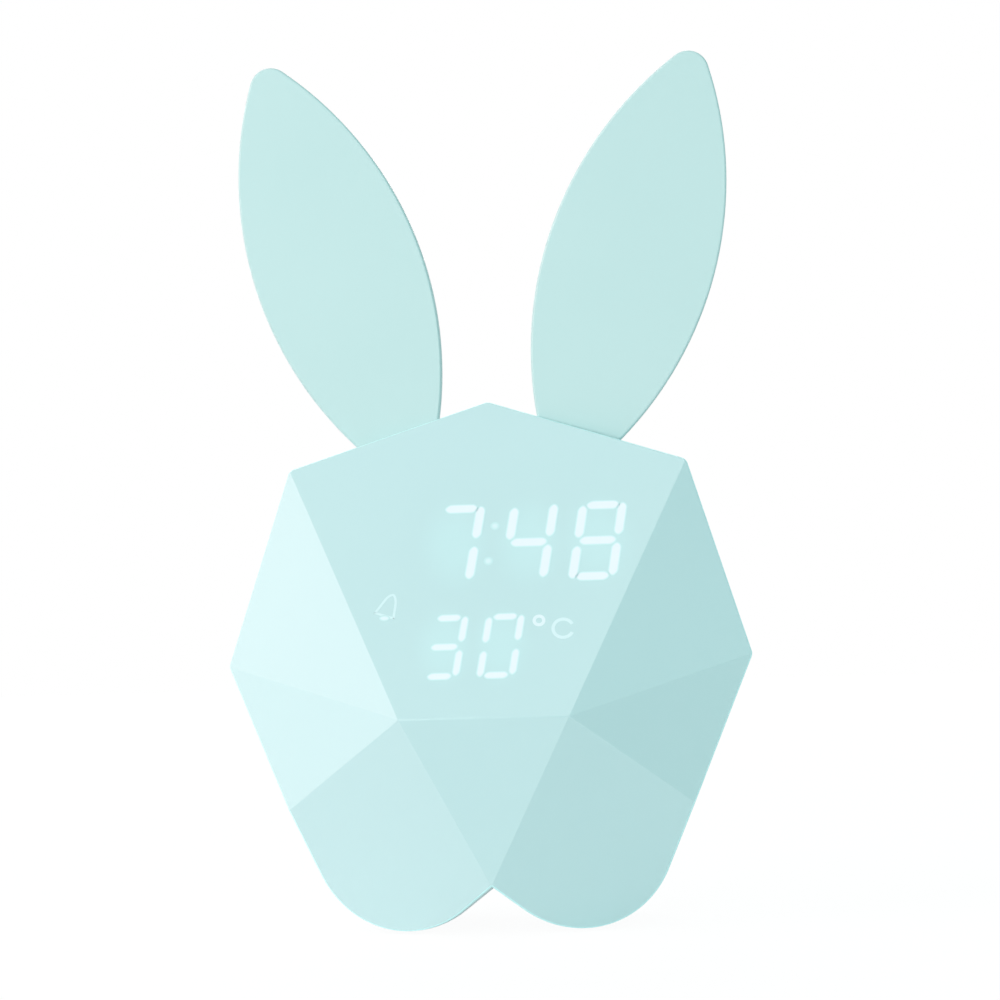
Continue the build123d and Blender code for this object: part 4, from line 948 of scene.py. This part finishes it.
# the finish of each node, by its name or by how its name starts or ends
NODE_MATERIALS = {
    "front_shell": translucent_mint, "rear_shell": shell_mint, "ear": ear_mint,
    "foot_pad": silicone_rubber(), "button": button_mint, "power_knob": button_mint,
    "switch_stem": black_nylon, "power_switch_lever": black_nylon, "tact_switches": black_nylon,
    "power_switch": tinned, "usb_socket": tinned, "clock_crystal": tinned, "storage_capacitor": tinned,
    "display_film": diffusing_film(), "display_reflector": white_abs,
    "display_leds": led, "night_light_leds": led,
    "display_board": green_board, "main_board": green_board, "light_board": white_board,
    "display_driver_chip": chip_epoxy, "controller_chip": chip_epoxy, "temperature_sensor": chip_epoxy,
    "ribbon_cable": flat_cable(), "ribbon_connectors": natural_nylon, "lead_connectors": natural_nylon,
    "touch_plate": copper_foil(), "battery_cell": shrink_wrap(), "battery_straps": white_abs,
    "speaker_basket": black_steel, "speaker_cone": pressed_paper(), "speaker_magnet": nickel,
    "speaker_gasket": foam(), "speaker_clamp": white_abs,
}
FAMILY_MATERIALS = {"_screws": zinc, "_lead": wire}


def node_material(name):
    """A family at the end of the name comes first, and then the longest start of the name that is listed."""
    for ending, material in FAMILY_MATERIALS.items():
        if name.endswith(ending):
            return material
    return NODE_MATERIALS[max((start for start in NODE_MATERIALS if name.startswith(start)), key=len)]


def dress_nodes():
    """Give every carried-over node the finish of its real material."""
    for name, node in frame["nodes"].items():
        node.data.materials.clear()
        node.data.materials.append(node_material(name))


# ================================================================ studio
def make_camera():
    data = bpy.data.cameras.new("camera")
    data.sensor_width, data.lens = CAMERA_SENSOR, CAMERA_LENS
    data.clip_start, data.clip_end = CAMERA_NEAR, CAMERA_FAR
    camera = bpy.data.objects.new("camera", data)
    bpy.context.scene.collection.objects.link(camera)
    camera.location = head_origin + MM * CAMERA_SPOT
    camera.rotation_mode = "QUATERNION"
    camera.rotation_quaternion = CAMERA_FORWARD.to_track_quat("-Z", "Y") @ Quaternion((0, 0, 1), CAMERA_ROLL)
    bpy.context.scene.camera = camera


def softbox(name, azimuth, elevation, distance, size, exposure, colour):
    """A square soft lamp. exposure is what it adds to a white surface that faces it squarely."""
    data = bpy.data.lights.new(name, "AREA")
    data.shape, data.size = "SQUARE", size
    data.energy = exposure * (pi * distance) ** 2
    data.color = linear(colour)[:3]
    lamp = bpy.data.objects.new(name, data)
    bpy.context.scene.collection.objects.link(lamp)
    a, e = radians(azimuth), radians(elevation)
    away = Vector((sin(a) * cos(e), -cos(a) * cos(e), sin(e)))
    lamp.location = head_origin + away * distance
    lamp.rotation_mode = "QUATERNION"
    lamp.rotation_quaternion = (-away).to_track_quat("-Z", "Y")


def seen_directly(tree):
    """1 for what the camera, a mirror or a glass looks at, 0 for the light that falls on the clock."""
    path = add(tree, "LightPath").outputs
    seen = path["Is Camera Ray"]
    for other in ("Is Glossy Ray", "Is Transmission Ray"):
        seen = add(tree, "Math", {0: seen, 1: path[other]}, operation="MAXIMUM").outputs[0]
    return seen


def make_world():
    world = bpy.data.worlds.new("studio")
    world.use_nodes = True
    tree = world.node_tree
    tree.nodes.clear()
    seen = seen_directly(tree)
    colour = add(tree, "Mix", {"Factor": seen, 6: WORLD_TINT, 7: WHITE}, data_type="RGBA").outputs[2]
    strength = add(tree, "MapRange", {"Value": seen, "To Min": WORLD_STRENGTH, "To Max": 1.0}).outputs[0]
    sky = add(tree, "Background", {"Color": colour, "Strength": strength})
    add(tree, "OutputWorld", {"Surface": sky.outputs[0]})
    bpy.context.scene.world = world


def make_floor():
    """A pale floor that looks white and keeps a faint shadow."""
    bm = bmesh.new()
    bmesh.ops.create_grid(bm, x_segments=1, y_segments=1, size=FLOOR_HALF_SIZE)
    floor = drawn_object("floor", bm)
    material, tree = new_material("pale_floor_paint")
    where = add(tree, "TexCoord").outputs["Object"]
    speck = add(tree, "TexNoise", {"Vector": where, "Scale": 1 / (25 * MM)})
    paint = add(tree, "Mix", {
        "Factor": speck.outputs["Fac"], 6: linear("#eceded"), 7: linear("#f1f2f2"),
    }, data_type="RGBA")
    matte = add(tree, "BsdfDiffuse", {"Color": paint.outputs[2]})
    white = add(tree, "Emission", {"Color": WHITE, "Strength": FLOOR_GLOW})
    share = add(tree, "Math", {0: seen_directly(tree), 1: FLOOR_WHITE}, operation="MULTIPLY").outputs[0]
    mix = add(tree, "MixShader", {0: share, 1: matte.outputs[0], 2: white.outputs[0]})
    finished(tree, mix)
    floor.data.materials.append(material)


make_camera()
make_face()
make_lit_signs()
make_printed_signs()
dress_nodes()
make_world()
make_floor()
for lamp_name, lamp_values in LAMPS.items():
    softbox(lamp_name, *lamp_values)
bpy.context.scene.view_settings.view_transform = "Standard"
